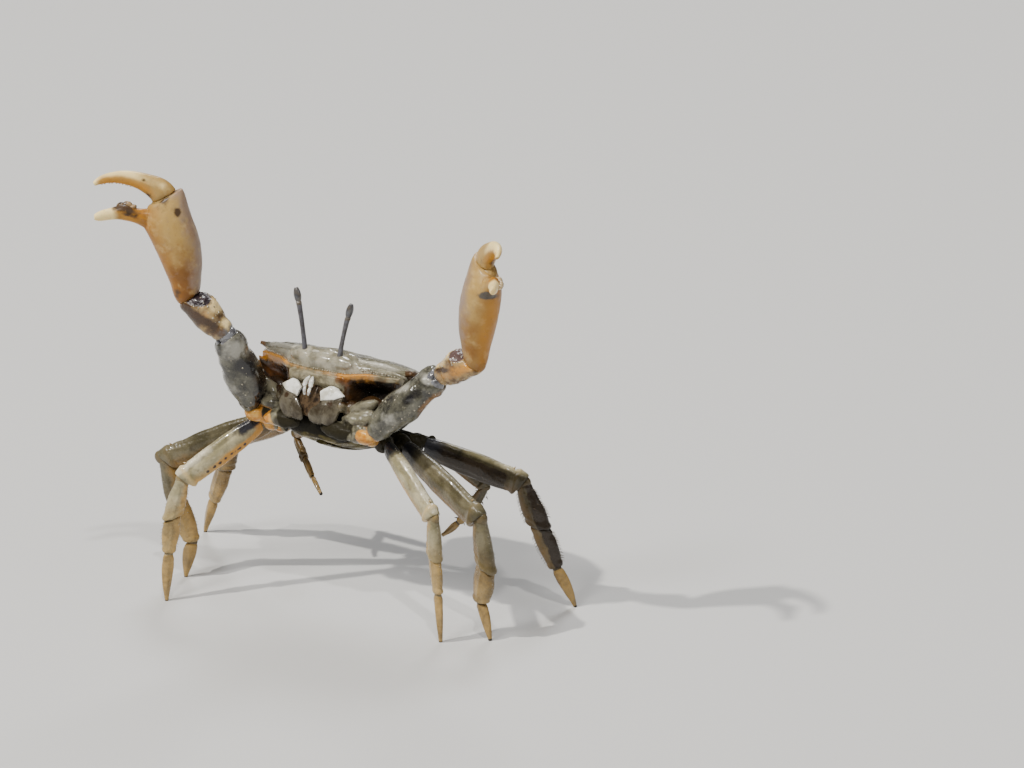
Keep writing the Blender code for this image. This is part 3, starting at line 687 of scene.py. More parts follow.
def ball(bm, centre, first, second, third, around=20, up=12):
    """An egg with three half-axes."""
    bmesh.ops.create_uvsphere(bm, u_segments=around, v_segments=up, radius=1,
                              matrix=axes_matrix(centre, first, second, third))


def trunk_ball(bm, centre, half_sizes, around=24, up=14):
    """An egg of the trunk's frame, with half sizes out, ahead and up."""
    out, ahead, rise = half_sizes
    ball(bm, trunk_point(*centre), trunk_way(out, 0, 0), trunk_way(0, -ahead, 0), trunk_way(0, 0, rise),
         around, up)


def bead(bm, centre, radius):
    ball(bm, centre, Vector((radius, 0, 0)), Vector((0, radius, 0)), Vector((0, 0, radius)), 8, 5)


def tube(bm, stations, across, sides=10):
    """A closed tapering tube: a disc, extruded and moved from each station to the next.

    A station is a centre, a width and a depth.
    """
    frames = []
    for number, (centre, width, depth) in enumerate(stations):
        before = stations[max(number - 1, 0)][0]
        after = stations[min(number + 1, len(stations) - 1)][0]
        along = (after - before).normalized()
        side = (across - along * across.dot(along)).normalized()
        frames.append(axes_matrix(centre, side * (width / 2), along.cross(side) * (depth / 2), along))
    disc = bmesh.ops.create_circle(bm, cap_ends=True, radius=1, segments=sides, matrix=frames[0])
    face = disc["verts"][0].link_faces[0]
    for number in range(1, len(frames)):
        grown = bmesh.ops.extrude_face_region(bm, geom=[face], use_keep_orig=number == 1)["geom"]
        corners = [item for item in grown if isinstance(item, bmesh.types.BMVert)]
        bmesh.ops.transform(bm, matrix=frames[number] @ frames[number - 1].inverted(), verts=corners)
        face = next(item for item in grown if isinstance(item, bmesh.types.BMFace))


def spike(bm, foot, tip, width, sides=6):
    tube(bm, [(foot, width, width), (foot.lerp(tip, 0.6), width * 0.6, width * 0.6),
              (tip, width * 0.12, width * 0.12)], Vector((0.31, 0.25, 0.92)), sides)


# Limbs


def node_points(node):
    flat = np.empty(len(NODES[node].data.vertices) * 3)
    NODES[node].data.vertices.foreach_get("co", flat)
    return np.unique((flat.reshape(-1, 3) / MM).round(4), axis=0)


def nearest_on(node, place):
    """The point of a CAD node's surface nearest to a place, in millimetres."""
    bm = bmesh.new()
    bm.from_mesh(NODES[node].data)
    found = BVHTree.FromBMesh(bm).find_nearest(place * MM)[0]
    bm.free()
    return found / MM


class Link:
    """One straight limb piece: its two ends, its axis and the two directions across it."""

    def __init__(self, node, before, across):
        points = node_points(node)
        middle = points.mean(0)
        axis = np.linalg.svd(points - middle)[2][0]
        if axis @ (middle - before) < 0:
            axis = -axis
        reach = (points - middle) @ axis
        low, high = reach.min(), reach.max()
        self.node = node
        self.start = points[reach < low + 0.12 * (high - low)].mean(0)
        self.end = points[reach > high - 0.12 * (high - low)].mean(0)
        self.length = float(np.linalg.norm(self.end - self.start))
        self.axis = (self.end - self.start) / self.length
        across = np.array(across, float)
        across -= self.axis * (across @ self.axis)
        self.across = across / np.linalg.norm(across)
        self.through = np.cross(self.axis, self.across)
        self.middle = middle
        self.half_width = np.abs((points - middle) @ self.across).max()
        self.half_depth = np.abs((points - middle) @ self.through).max()

    def ways(self):
        """The axis and the directions across and through, as vectors."""
        return Vector(self.axis), Vector(self.across), Vector(self.through)

    def measure(self, points):
        """How far along each point is, and how far across and through, from -1 to 1."""
        moved = points - self.start
        along = moved @ self.axis / self.length
        high = moved @ self.across / self.half_width
        face = moved @ self.through / self.half_depth
        return along, high, face


def limb_skin(link, start=0.0, middle=0.0, end=0.0):
    """A limb piece's skin and the measures of its points.

    It is made wider by shares of its width: at its start, all along and at its end.
    """
    skin = Skin(link.node)
    along = link.measure(skin.points)[0]
    moved = skin.points - link.start
    off_axis = moved - np.outer(moved @ link.axis, link.axis)
    share = middle + start * smoothstep(-along, -0.16, 0.0) + end * smoothstep(along, 0.84, 1.0)
    skin.points += off_axis * share[:, None]
    along, high, face = link.measure(skin.points)
    skin.marks = {"along": along, "high": np.clip(high, -1, 1)}
    return skin, along, high, face


def crest_points(skin, link, count, low, high, direction):
    """Points along a limb piece's edge: the ones furthest out in the given direction."""
    along = link.measure(skin.points)[0]
    reach = skin.points @ direction
    found = []
    for station in np.linspace(low, high, count):
        near = np.abs(along - station) < 0.02
        if near.any():
            best = np.argmax(np.where(near, reach, -1e9))
            found.append(Vector(skin.points[best]))
    return found


def bead_row(bm, skin, link, direction, count, span, sunk, sizes, phase=0.0):
    """Beads along a limb piece's edge, between two shares of its length.

    Their sizes are a mean radius, how much it swings, and the swing's step from bead to bead.
    """
    radius, swing, step = sizes
    for number, point in enumerate(crest_points(skin, link, count, *span, direction)):
        bead(bm, point - Vector(direction) * sunk, radius + swing * sin(number * step + phase))


def joint_ball(bm, before, after, wide, deep, long):
    """The soft skin between two limb pieces, with its three half sizes."""
    middle = Vector((before.end + after.start) / 2)
    axis = Vector(before.axis + after.axis).normalized()
    across = Vector(after.across)
    across = (across - axis * across.dot(axis)).normalized()
    ball(bm, middle, across * wide, axis.cross(across) * deep, axis * long)


# Walking legs


def leg_links(side, leg):
    prefix = side + "_" + leg + "_"
    base = Link(prefix + "base", np.array(trunk_point(0, 5, -9)), (0, 0, 1))
    links = [base, Link(prefix + "merus", base.middle, (0, 0, 1))]
    outward = links[1].axis * np.array([1, 1, 0])
    for label in ("carpus", "propodus", "dactyl"):
        links.append(Link(prefix + label, links[-1].middle, outward))
    return links


def make_leg_base(base, warm, seed):
    skin, along, high, face = limb_skin(base)
    skin.roughen(0.08, 0.02, seed)
    if warm:
        skin.marks["orange"] = smoothstep(-high, -0.6, 0.2)
    # Painted shade and dark wet skin: on the upper side of a warm leg's base, all over the others
    skin.marks["wet"] = smoothstep(high, 0.2, 0.8) if warm else 0.8
    skin.done("base", "limb_bases")


def make_leg_merus(side, leg, merus, shade, seed):
    """The broad upper piece, with a groove along both edges and a collar at the knee."""
    skin, along, high, face = limb_skin(merus, 0.0, 0.05, 0.22)
    sides = smoothstep(np.abs(face), 0.2, 0.6) * smoothstep(along, 0.02, 0.15)
    sides *= smoothstep(-along, -0.95, -0.85)
    skin.push(-0.11 * bump_at(high, 0.55, 0.14) * sides - 0.07 * bump_at(high, -0.55, 0.14) * sides)
    skin.push(0.14 * bump_at(along, 0.955, 0.020) - 0.11 * bump_at(along, 0.905, 0.018))
    skin.push(0.12 * bump_at(along, 0.86, 0.05) * smoothstep(high, 0.2, 0.9))
    skin.roughen(0.07, 0.018, seed)
    marks = skin.marks
    marks["shade"] = shade
    marks["collar"] = (0.75 - 0.45 * shade) * bump_at(along, 0.955, 0.026)
    # Painted shade and dark wet skin at the merus's base, by the trunk, fainter on the right
    marks["wet"] = smoothstep(-along, -0.26, -0.04) * (1.0 if side == "left" else 0.30)
    # A painted highlight along the upper edge, fainter under painted shade
    marks["painted_edge_highlight"] = 0.6 * smoothstep(high, 0.55, 0.9) * smoothstep(along, 0.1, 0.3) * (1 - 0.8 * shade)
    # On this leg the painted shade leaves the lit upper strip bare
    if (side, leg) == ("left", "leg3"):
        marks["shade"] = shade * smoothstep(-high, -0.98, -0.70)
        marks["brown"] = 0.85 * smoothstep(-high, -0.75, -0.45) * smoothstep(-along, -0.94, -0.80)
    if (side, leg) == ("right", "leg1"):
        # A broader painted highlight on the upper edge of this leg
        marks["painted_edge_highlight"] = 0.8 * smoothstep(high, 0.30, 0.80) * smoothstep(along, 0.35, 0.75)
        marks["rust"] = (1.1 * smoothstep(-high, 0.0, 0.45) * smoothstep(-along, -0.90, -0.40)
                         + smoothstep(-along, -0.14, 0.0))
        marks["wet"] = smoothstep(-along, -0.40, -0.10) * smoothstep(high, -0.1, 0.4)
        marks["spots"] = (1.1 * bump_at(high, -0.50, 0.15) * (0.5 + 0.5 * np.cos(along * 2 * pi * 12))
                          * smoothstep(along, 0.1, 0.25) * smoothstep(-along, -0.9, -0.75))
    skin.done("leg", "leg_shell")
    return skin


def make_leg_carpus(link, slant, shade, seed):
    """The piece below the knee, ridged lengthwise, whose far end slants."""
    skin, along, high, face = limb_skin(link, 0.20, 0.06, 0.26)
    lean = high * link.half_width * slant * smoothstep(along, 0.45, 1.0)
    lean = lean + 0.35 * smoothstep(along, 0.7, 1.0)
    collar = along - 0.16 * high
    skin.push(0.11 * bump_at(high, 0.05, 0.16) * smoothstep(along, 0.1, 0.3)
              + 0.09 * bump_at(collar, 0.90, 0.04))
    skin.points += link.axis * lean[:, None]
    skin.roughen(0.06, 0.018, seed)
    skin.marks["shade"] = shade
    skin.marks["collar"] = 0.45 * bump_at(collar, 0.93, 0.05)
    skin.marks["tan"] = 0.5 * smoothstep(-high, 0.1, 0.8) + 0.3 * smoothstep(along, 0.4, 0.9)
    return skin, high


def make_leg_propodus(link, slant, shade, seed, dark, swell):
    """The next piece, whose near end slants to meet the carpus; its painted shade lightens towards its tip.
    """
    skin, along, high, face = limb_skin(link, 0.20, swell, 0.28)
    lean = high * link.half_width * slant * smoothstep(-along, -0.50, 0.0)
    skin.push(0.10 * bump_at(high, 0.0, 0.18) * smoothstep(-along, -0.95, -0.7))
    skin.points += link.axis * lean[:, None]
    skin.roughen(0.06, 0.018, seed)
    fade = 0.0 if dark else 0.45
    skin.marks["shade"] = shade * (0.85 - fade * smoothstep(along, 0.2, 0.7))
    skin.marks["tan"] = 0.5 if dark else 0.75
    skin.marks["brown"] = 0.5 * bump_at(along, -0.02, 0.03)
    return skin, high


def make_leg_dactyl(dactyl, shade):
    """The pointed foot, with four ridges and a dark tip."""
    skin, along, high, face = limb_skin(dactyl, 0.10, 0.04, 0.0)
    spread = np.arctan2(face, high)
    skin.push(0.06 * np.cos(4 * spread) * smoothstep(along, 0.05, 0.25) * smoothstep(-along, -0.95, -0.6))
    skin.marks["tan"] = 0.9
    skin.marks["shade"] = 0.15 + 0.25 * shade
    skin.marks["brown"] = 0.8 * smoothstep(along, 0.90, 1.0)
    skin.done("leg", "leg_tips")


def add_edge_growth(beads, hairs, skin, link, bristly):
    """Small beads and short hairs along both edges; a bristly leg has many longer hairs."""
    axis, across, through = link.ways()
    for sign in (1, -1):
        edge = across * sign
        count = 40 if bristly else 16
        for number, point in enumerate(crest_points(skin, link, count, 0.12, 0.88, sign * link.across)):
            root = point - edge * 0.05
            if number % 2 == 0 or not bristly:
                bead(beads, root, 0.070 + 0.02 * sin(number * 2.1))
            if number % 2 == 0 or bristly:
                away = edge * 0.9 + axis * (0.6 + 0.3 * sin(number * 1.7))
                spike(hairs, root, point + away * (0.50 if bristly else 0.30), 0.06, 4)


def make_leg(side, leg, seed):
    base, merus, carpus, propodus, dactyl = leg_links(side, leg)
    rear = leg == "leg4"
    bristly = (side, leg) == ("left", "leg3")
    warm = side == "right" and leg in ("leg1", "leg2")
    upper_shade, lower_shade = LEG_SHADE[side, leg]
    slant = JOINT_SLANT * (0.3 if rear else 1.0)
    beads, spines, knobs, hip, soft, hairs = (bmesh.new() for _ in range(6))

    make_leg_base(base, warm, seed)
    skin = make_leg_merus(side, leg, merus, upper_shade, seed + 3)
    count = 12 if rear else 28
    bead_row(beads, skin, merus, merus.across, count, (0.08, 0.88), 0.06, (0.10, 0.03, 2.7))
    bead_row(beads, skin, merus, -merus.across, count, (0.10, 0.88), 0.05, (0.070, 0.02, 1.9))
    tip = crest_points(skin, merus, 1, 0.90, 0.90, merus.across)[0]
    out = Vector(merus.across * 0.8 + merus.axis * 0.5)
    spike(spines, tip - out * 0.15, tip + out * 0.50, 0.34)

    swell = 0.18 if (side, leg) == ("left", "leg2") else 0.06
    for link, (skin, high) in (
        (carpus, make_leg_carpus(carpus, slant, lower_shade, seed + 7)),
        (propodus, make_leg_propodus(propodus, slant, lower_shade, seed + 7, bristly, swell)),
    ):
        if bristly:
            skin.marks["brown"] = 0.9 * smoothstep(high, -0.35, 0.35)
        skin.done("leg", "leg_shell")
        add_edge_growth(beads, hairs, skin, link, bristly)
    make_leg_dactyl(dactyl, lower_shade)

    chain = (base, merus, carpus, propodus, dactyl)
    for before, after in zip(chain, chain[1:]):
        wide = 0.78 * min(before.half_width, after.half_width)
        deep = 0.82 * min(before.half_depth, after.half_depth)
        joint_ball(hip if before is base else soft, before, after, wide, deep, 0.75 * wide)
    # The hip's skin runs from the base to the nearest place of the breastplate
    middle = Vector(base.middle)
    way = nearest_on("thorax", middle) - middle
    inward = way.normalized()
    across = inward.orthogonal().normalized()
    ball(hip, middle + way * 0.55, inward * (way.length * 0.5 + 0.6), across * 0.85,
         inward.cross(across) * 0.85)
    axis, across, through = merus.ways()
    size = 0.22 if rear else 0.46
    for outward in (through, -through):
        centre = Vector(merus.end) + outward * (merus.half_depth * 0.66) - axis * 0.30
        ball(knobs, centre, outward * size * 0.9, axis * size, across * size * 1.2, 12, 8)
    if rear:
        for link in (merus, carpus, propodus):
            axis, across, through = link.ways()
            for edge in (across, -across):
                for share in (0.3, 0.62, 0.9):
                    root = Vector(link.start).lerp(Vector(link.end), share) + edge * link.half_width * 0.75
                    spike(spines, root, root + edge * 0.40 + axis * 0.30, 0.22)

    name = side + "_" + leg
    added(name + "_beads", beads, "hair" if rear else "bead", "leg_shell")
    added(name + "_spines", spines, "hair" if rear else "knob", "leg_shell")
    added(name + "_knee_knobs", knobs, "hair" if rear else "knob", "leg_shell")
    # The hip joints have painted shade and dark wet skin, less on the warm legs
    added(name + "_hip_joint", hip, "base", "limb_bases", orange=0.45 * warm, wet=0.9 - 0.35 * warm)
    added(name + "_soft_joints", soft, "leg", "leg_shell", tan=0.35, shade=0.25 + 0.7 * lower_shade)
    added(name + "_fringe", hairs, "hair", "leg_shell")


# Claws


def make_arm(side, seed):
    """The claw's arm: its base, its merus, and its carpus, which is the wrist."""
    inward = -SIGN[side]
    fingers = heading(side, FINGER_TURN[side], 0)
    base = Link(side + "_claw_base", np.array(trunk_point(0, -1.5, -9)), (0, 0, 1))
    merus = Link(side + "_claw_merus", base.middle, fingers)
    carpus = Link(side + "_claw_carpus", merus.middle, (0, 0, 1))
    beads, knobs, soft = (bmesh.new() for _ in range(3))

    skin, along, high, face = limb_skin(base)
    skin.roughen(0.10, 0.02, seed)
    if side == "left":
        skin.marks["orange"] = smoothstep(along, 0.62, 0.80) * smoothstep(-high, -0.2, 0.3)
    else:
        skin.marks["orange"] = smoothstep(along, 0.20, 0.50)
    # Painted shade and dark wet skin at the base's inner end, by the trunk
    skin.marks["wet"] = 0.9 * smoothstep(-along, -0.55, -0.30) * (1 - skin.marks["orange"])
    skin.done("base", "limb_bases")

    skin, along, high, face = limb_skin(merus, 0.0, 0.05, 0.10)
    skin.push(0.30 * bump_at(along, 0.45, 0.25))
    skin.push(-0.14 * bump_at(along, 0.80, 0.05) + 0.12 * bump_at(along, 0.90, 0.05)
              - 0.14 * bump_at(along - 0.10 * face, 0.16, 0.04))
    skin.roughen(0.22, 0.07, seed + 3)
    skin.marks["orange"] = smoothstep(-along, -0.05, 0.0) * smoothstep(high, -0.8, 0.2)
    skin.paint_ovals()
    skin.done("arm", "arm_shell")
    axis, across, through = merus.ways()
    for direction, count in ((merus.across, 16), (-merus.across, 16), (merus.through * inward, 14)):
        bead_row(beads, skin, merus, direction, count, (0.15, 0.92), 0.06, (0.11, 0.04, 2.3))
    for way, size in ((through * inward, 0.95), (across, 0.95), (-across, 0.85)):
        ball(knobs, Vector(merus.end) + way * 1.20 - axis * 0.35, way * size * 0.55, axis * size,
             way.cross(axis) * size * 1.1, 14, 9)

    skin, along, high, face = limb_skin(carpus, 0.06, 0.04, 0.08)
    skin.push(0.22 * bump_at(along, 0.55, 0.18) * smoothstep(high, -0.2, 0.8)
              - 0.14 * bump_at(along, 0.20, 0.05))
    skin.roughen(0.12, 0.035, seed + 6)
    skin.marks["mauve"] = 0.6 if side == "left" else 0.0
    skin.paint_ovals()
    # The dark smooth oval of the wrist lies a little lower than its rim
    oval = skin.marks["oval"]
    skin.push(0.12 * bump_at(oval, 0.26, 0.12) - 0.10 * smoothstep(oval, 0.35, 0.6))
    skin.done("wrist", "wrist_shell")
    for turn in range(-3, 6):
        angle = turn * 0.42
        direction = carpus.across * cos(angle) + carpus.through * inward * sin(angle)
        bead_row(beads, skin, carpus, direction, 6, (0.22 + 0.04 * (turn % 2), 0.80), 0.05,
                 (0.10, 0.05, 1.9), turn * 2.3)

    joint_ball(soft, base, merus, 1.45, 1.35, 1.0)
    joint_ball(knobs, merus, carpus, 1.45, 1.35, 1.0)
    added(side + "_claw_arm_beads", beads, "bead", "arm_shell")
    added(side + "_elbow_knobs", knobs, "elbow", "arm_shell")
    added(side + "_claw_soft_joints", soft, "base", "arm_shell", orange=0.7)


def make_shoulder(side, seed):
    """The lobed first pieces of the claw's arm, beside the mouth, with the orange joint."""
    sign = SIGN[side]
    lumps = bmesh.new()
    ahead = trunk_way(0, -1, 0)
    for (x, y, z), (dx, dz), length, height, depth in (
        ((5.0, -2.35, -9.8), (1.0, -0.05), 3.4, 1.30, 1.15),
        ((7.3, -2.8, -8.0), (1.0, 0.05), 2.1, 0.85, 1.1),
        ((8.3, -2.7, -5.9), (0.9, 0.42), 2.6, 0.85, 1.1),
        ((8.9, -2.4, -7.6), (0.8, 0.6), 1.8, 1.3, 1.0),
        ((9.8, -2.4, -9.9), (1.0, 0.10), 1.75, 1.25, 1.45),
    ):
        along = trunk_way(sign * dx, 0, dz).normalized()
        ball(lumps, trunk_point(sign * x, y, z), along * length, along.cross(ahead) * height, ahead * depth)
    skin = Skin(side + "_claw_shoulder", mesh=melted(lumps, grain=0.16, rounds=9))
    x, y, z = to_trunk(skin.points)
    x = np.abs(x)
    skin.roughen(0.17, 0.035, seed)
    inner = 8.3 if side == "left" else 6.1
    skin.marks["orange"] = smoothstep(x - 0.4 * (z + 9.2), inner, inner + 0.9) * smoothstep(-z, 8.3, 9.1)
    # The paler upper lobes, and a painted highlight along the top of the orange joint
    skin.marks["pale"] = (smoothstep(x, 8.6, 9.4) * bump_at(z, -8.9, 0.35)
                          + 0.4 * smoothstep(z, -8.3, -7.4))
    # The inner lower lobes: painted shade and dark wet skin
    skin.marks["wet"] = (smoothstep(-(x - 0.5 * (z + 9.5)), 0.3 - inner, 1.1 - inner)
                         * smoothstep(-z, 8.2, 9.2))
    skin.done("base", "limb_bases")


# Hands

# The middle line of the movable finger, in the hand's plane
ARC_REACH = (-0.7, 0.0, 1.2, 2.7, 4.6, 6.3, 7.4, 8.0)
ARC_HEIGHT = (14.9, 16.2, 17.25, 18.35, 19.2, 19.55, 19.5, 19.3)
# The upper edge of the palm and its fixed finger
CREST_REACH = (2.6, 3.6, 5.0, 7.6)
CREST_HEIGHT = (13.1, 13.55, 14.5, 14.9)


def hand_frame(side):
    """The wrist, and the directions of the palm, of the fingers and through the hand."""
    up = heading(side, *HAND_UP[side])
    fingers = heading(side, FINGER_TURN[side], 0)
    fingers = (fingers - up * fingers.dot(up)).normalized()
    points = node_points(side + "_palm")
    reach = points @ np.array(up)
    wrist = points[reach < reach.min() + 0.9].mean(0)
    wrist = Vector(wrist) + fingers * 0.3 - up * (float(wrist @ np.array(up)) - float(reach.min()) + 0.15)
    return wrist, up, fingers, up.cross(fingers)


def hand_measure(skin, side):
    """How far up the hand and how far towards the fingers each point is."""
    wrist, up, fingers, through = hand_frame(side)
    moved = skin.points - np.array(wrist)
    return moved @ np.array(up), moved @ np.array(fingers)


def make_palm(side, seed):
    palm = Skin(side + "_palm")
    height, reach = hand_measure(palm, side)
    palm.push(0.10 + 0.30 * smoothstep(-height, -3.5, -0.5))
    palm.roughen(0.05, 0.008, seed)
    finger = smoothstep(reach, 3.4, 4.6)
    half = 1.4 + 2.1 * smoothstep(height, 0.5, 8.0)
    crest = height - np.interp(reach, CREST_REACH, CREST_HEIGHT)
    palm.push(0.16 * smoothstep(crest, -0.2, 0.3) * bump_at(reach, 4.9, 0.9))
    if side == "right":
        palm.marks["along"] = np.clip(height / 15, 0, 1)
        palm.marks["high"] = np.clip((reach + 0.4) / half, -1, 1) * (1 - finger) + 0.35 * finger
        palm.marks["ivory"] = 1.1 * smoothstep(reach, 4.8, 7.2)
        palm.marks["tan"] = 0.7 * smoothstep(reach, 2.2, 4.0) * smoothstep(-reach, -6.4, -4.8)
        palm.marks["dirt"] = 0.8 * smoothstep(crest, -0.5, 0.25) * bump_at(reach, 4.2, 1.6)
        palm.paint_ovals()
    else:
        across, down, near = palm.from_pixel(*LEFT_PALM_MIDDLE)
        palm.marks["along"] = np.clip(height / 15, 0.32, 1)
        palm.marks["high"] = np.clip((across + 0.12 * down) / LEFT_PALM_HALF_WIDTH, -1, 0.8)
        palm.marks["ivory"] = smoothstep(reach, 4.9, 6.2)
        palm.paint_ovals()
        palm.marks["grey"] += palm.marks.pop("under_fingers") * smoothstep(-reach, -4.4, -3.6)
    palm.done("claw", "claw_shell")
    return palm


def make_movable_finger(side, seed):
    finger = Skin(side + "_claw_dactyl")
    height, reach = hand_measure(finger, side)
    finger.push(np.full(len(height), 0.05))
    finger.roughen(0.035, 0.008, seed)
    above = height - np.interp(reach, ARC_REACH, ARC_HEIGHT)
    finger.marks["along"] = 0.75
    finger.marks["tan"] = (bump_at(above, -0.15, 0.85) * smoothstep(-reach, -7.8, -6.0)
                           * smoothstep(reach, -0.6, 1.6))
    finger.marks["ivory"] = (0.85 * smoothstep(above, 0.35, 1.10) * smoothstep(reach, -1.0, 2.5)
                             + 0.9 * smoothstep(reach, 6.4, 7.9))
    finger.paint_ovals()
    finger.marks["ivory"] = np.clip(finger.marks["ivory"], 0, 1)
    finger.done("claw", "claw_shell")
    return finger


def make_hand(side, seed):
    wrist, up, fingers, through = hand_frame(side)
    palm = make_palm(side, seed)
    finger = make_movable_finger(side, seed + 4)

    def spot(across, high):
        """A place on the hand's middle surface, which bends slightly towards the mouth."""
        return wrist + fingers * across + up * high - through * (SIGN[side] * 0.028 * across ** 2)

    # The fixed finger's large blunt teeth, then the small ones of the movable finger
    large, small = bmesh.new(), bmesh.new()
    for across, wide, tall in ((3.5, 0.75, 0.40), (4.3, 0.80, 0.75), (5.0, 0.70, 0.60), (5.9, 0.6, 0.3)):
        foot = palm.nearest(spot(across, 15.2))
        ball(large, foot - up * 0.15, fingers * wide, up * tall, through * 0.5)
    for number in range(10):
        foot = finger.nearest(spot(3.4 + number * 0.40, 17.2))
        ball(small, foot, fingers * 0.15, up * 0.12, through * 0.14, 8, 5)
    added(side + "_stained_tooth", large, "tooth" if side == "right" else "knob", "claw_shell")
    added(side + "_small_teeth", small, "knob", "claw_shell")
    # The knuckle that bridges the palm and the movable finger, and the palm's round heel
    knuckle, heel = bmesh.new(), bmesh.new()
    ball(knuckle, spot(-0.85, 14.7), fingers * 1.95 - up * 0.47, up * 0.75, through * 1.12, 28, 16)
    added(side + "_finger_knuckle", knuckle, "claw", "claw_shell", along=0.75, high=-0.2, dirt=0.40)
    ball(heel, wrist + up * 0.80 - fingers * 0.25, fingers * 1.10, up * 1.20, through * 1.00, 28, 16)
    along = 0.05 if side == "right" else 0.32
    added(side + "_palm_heel", heel, "claw", "claw_shell", along=along, high=0.3)


# Trunk


def make_back():
    skin = Skin("carapace")
    x, y, z = to_trunk(skin.points)
    x = np.abs(x)
    upper = smoothstep(z, -0.9, -0.2)
    # The grooves between the regions of the back
    neck = bump_at(y - (5.2 + 0.35 * (x - 3.2)), 0, 0.38) * smoothstep(x, 1.5, 2.6)
    neck *= smoothstep(-x, -12.4, -9.5)
    heart = bump_at(x - (3.0 + 0.06 * (y - 7.5) ** 2), 0, 0.36) * smoothstep(y, 4.6, 6.0)
    heart *= smoothstep(-y, -12.2, -10.6)
    middle = bump_at(x, 0, 0.25) * smoothstep(-y, -1.6, 0.6)
    flank = bump_at(y - (9.0 + 0.22 * (x - 5)), 0, 0.35) * smoothstep(x, 4.2, 5.4)
    flank *= smoothstep(-x, -12.0, -9.5)
    groove = np.clip(neck + heart + 0.6 * middle + 0.7 * flank, 0, 1) * upper
    skin.push(-0.26 * groove)
    granules = np.clip(value_noise(skin.points, 0.42, 5) - 0.15, 0, 1)
    skin.push(0.13 * granules * upper * smoothstep(x, 2.5, 9.0))
    skin.roughen(0.08, 0.02, 31)
    skin.marks["groove"] = 0.75 * groove
    skin.marks["pale"] = smoothstep(-y, 0.2, 1.6) * smoothstep(-z, -1.1, 0.1)
    # The teeth of the side edge are painted dark brown as shade
    skin.marks["teeth"] = smoothstep(x, 11.6, 12.8) * smoothstep(-np.abs(y - 1.8), -3.6, -2.2)
    skin.done("back", "back_shell")

    rim = bmesh.new()
    for sign in (1, -1):
        for number in range(34):
            share = number / 33
            out = 12.75 - 5.2 * share ** 2.3
            along = 4.6 + 8.2 * share
            bead(rim, trunk_point(sign * out, along, -0.30 - 0.8 * share), 0.13 + 0.03 * sin(number * 2.1))
    added("shell_rim_beads", rim, "bead", "back_shell")


def ridge_height(x):
    """How high the front ridge is in the trunk's frame, as in the solid."""
    return -2.6 + 0.8 * (abs(x) / 12) ** 1.5


def ridge_line(x):
    """How far back and how high the sculpted ridge is."""
    lift = 0.55 * float(smoothstep(abs(x), 4.5, 8.0))
    return -4.5 + 3.3 * (abs(x) / 12) ** 1.9, ridge_height(x) + lift


def make_face():
    skin = Skin("face")
    x, y, z = to_trunk(skin.points)
    wide = np.abs(x)
    ridge = ridge_height(x)
    front = y < 0.4 - 0.9 * (wide < 8)
    # The plate above the mouth is nearly flush with the ridge
    forward = 0.75 * smoothstep(-wide, -5.0, -4.2) * smoothstep(z, -4.5, -3.9)
    forward *= smoothstep(-z, 2.6, 3.1) * (y < -2.5)
    # The side cheeks are hollow, with an upright fold beside the mouth
    hollow = smoothstep(wide, 6.0, 7.6) * smoothstep(-wide, -12.0, -10.6)
    hollow *= smoothstep(ridge - z, 0.7, 1.5) * front
    fold = bump_at(wide - 0.12 * (z + 3), 5.4, 0.55) * smoothstep(ridge - z, 0.2, 0.9) * front
    ahead = np.array(trunk_way(0, -1, 0))
    skin.points += (forward - 0.8 * hollow + 0.45 * fold)[:, None] * ahead
    lift = 0.55 * smoothstep(wide, 4.5, 8.0) * bump_at(z - ridge, 0, 0.9) * (y < 0.2)
    skin.points += lift[:, None] * np.array(trunk_way(0, 0, 1))
    skin.roughen(0.07, 0.015, 41)
    line = bump_at(z - ridge, 0.05, 0.42 + 0.30 * smoothstep(wide, 5, 8)) * (y < -0.4)
    strength = np.where(x < 0, smoothstep(-x, 4.0, 8.0) + 0.38, 0.38 + 0.45 * smoothstep(x, 2.2, 4.5))
    strength *= 1 - 0.8 * smoothstep(x, 7.8, 9.8)
    under = smoothstep(ridge - z, 0.15, 0.7)
    skin.marks["ridge"] = line * strength
    # Under the ridge: dark brown, partly painted shade, and near-black painted shade in the hollows
    skin.marks["brown"] = under * smoothstep(wide, 4.0, 5.4)
    skin.marks["hollow"] = (under * smoothstep(wide, 4.2, 7.6) * np.where(x > 0, 1.1, 0.25)
                            * smoothstep(-wide, -12.4, -11.4))
    skin.paint_ovals()
    skin.done("face", "front_shell")

    beads = bmesh.new()
    for number in range(61):
        x = -11.7 + number * 0.39
        front, level = ridge_line(x)
        bead(beads, trunk_point(x, front + 0.12, level + 0.38), 0.10 + 0.02 * sin(number * 2.9))
    added("front_ridge_beads", beads, "bead", "front_shell")


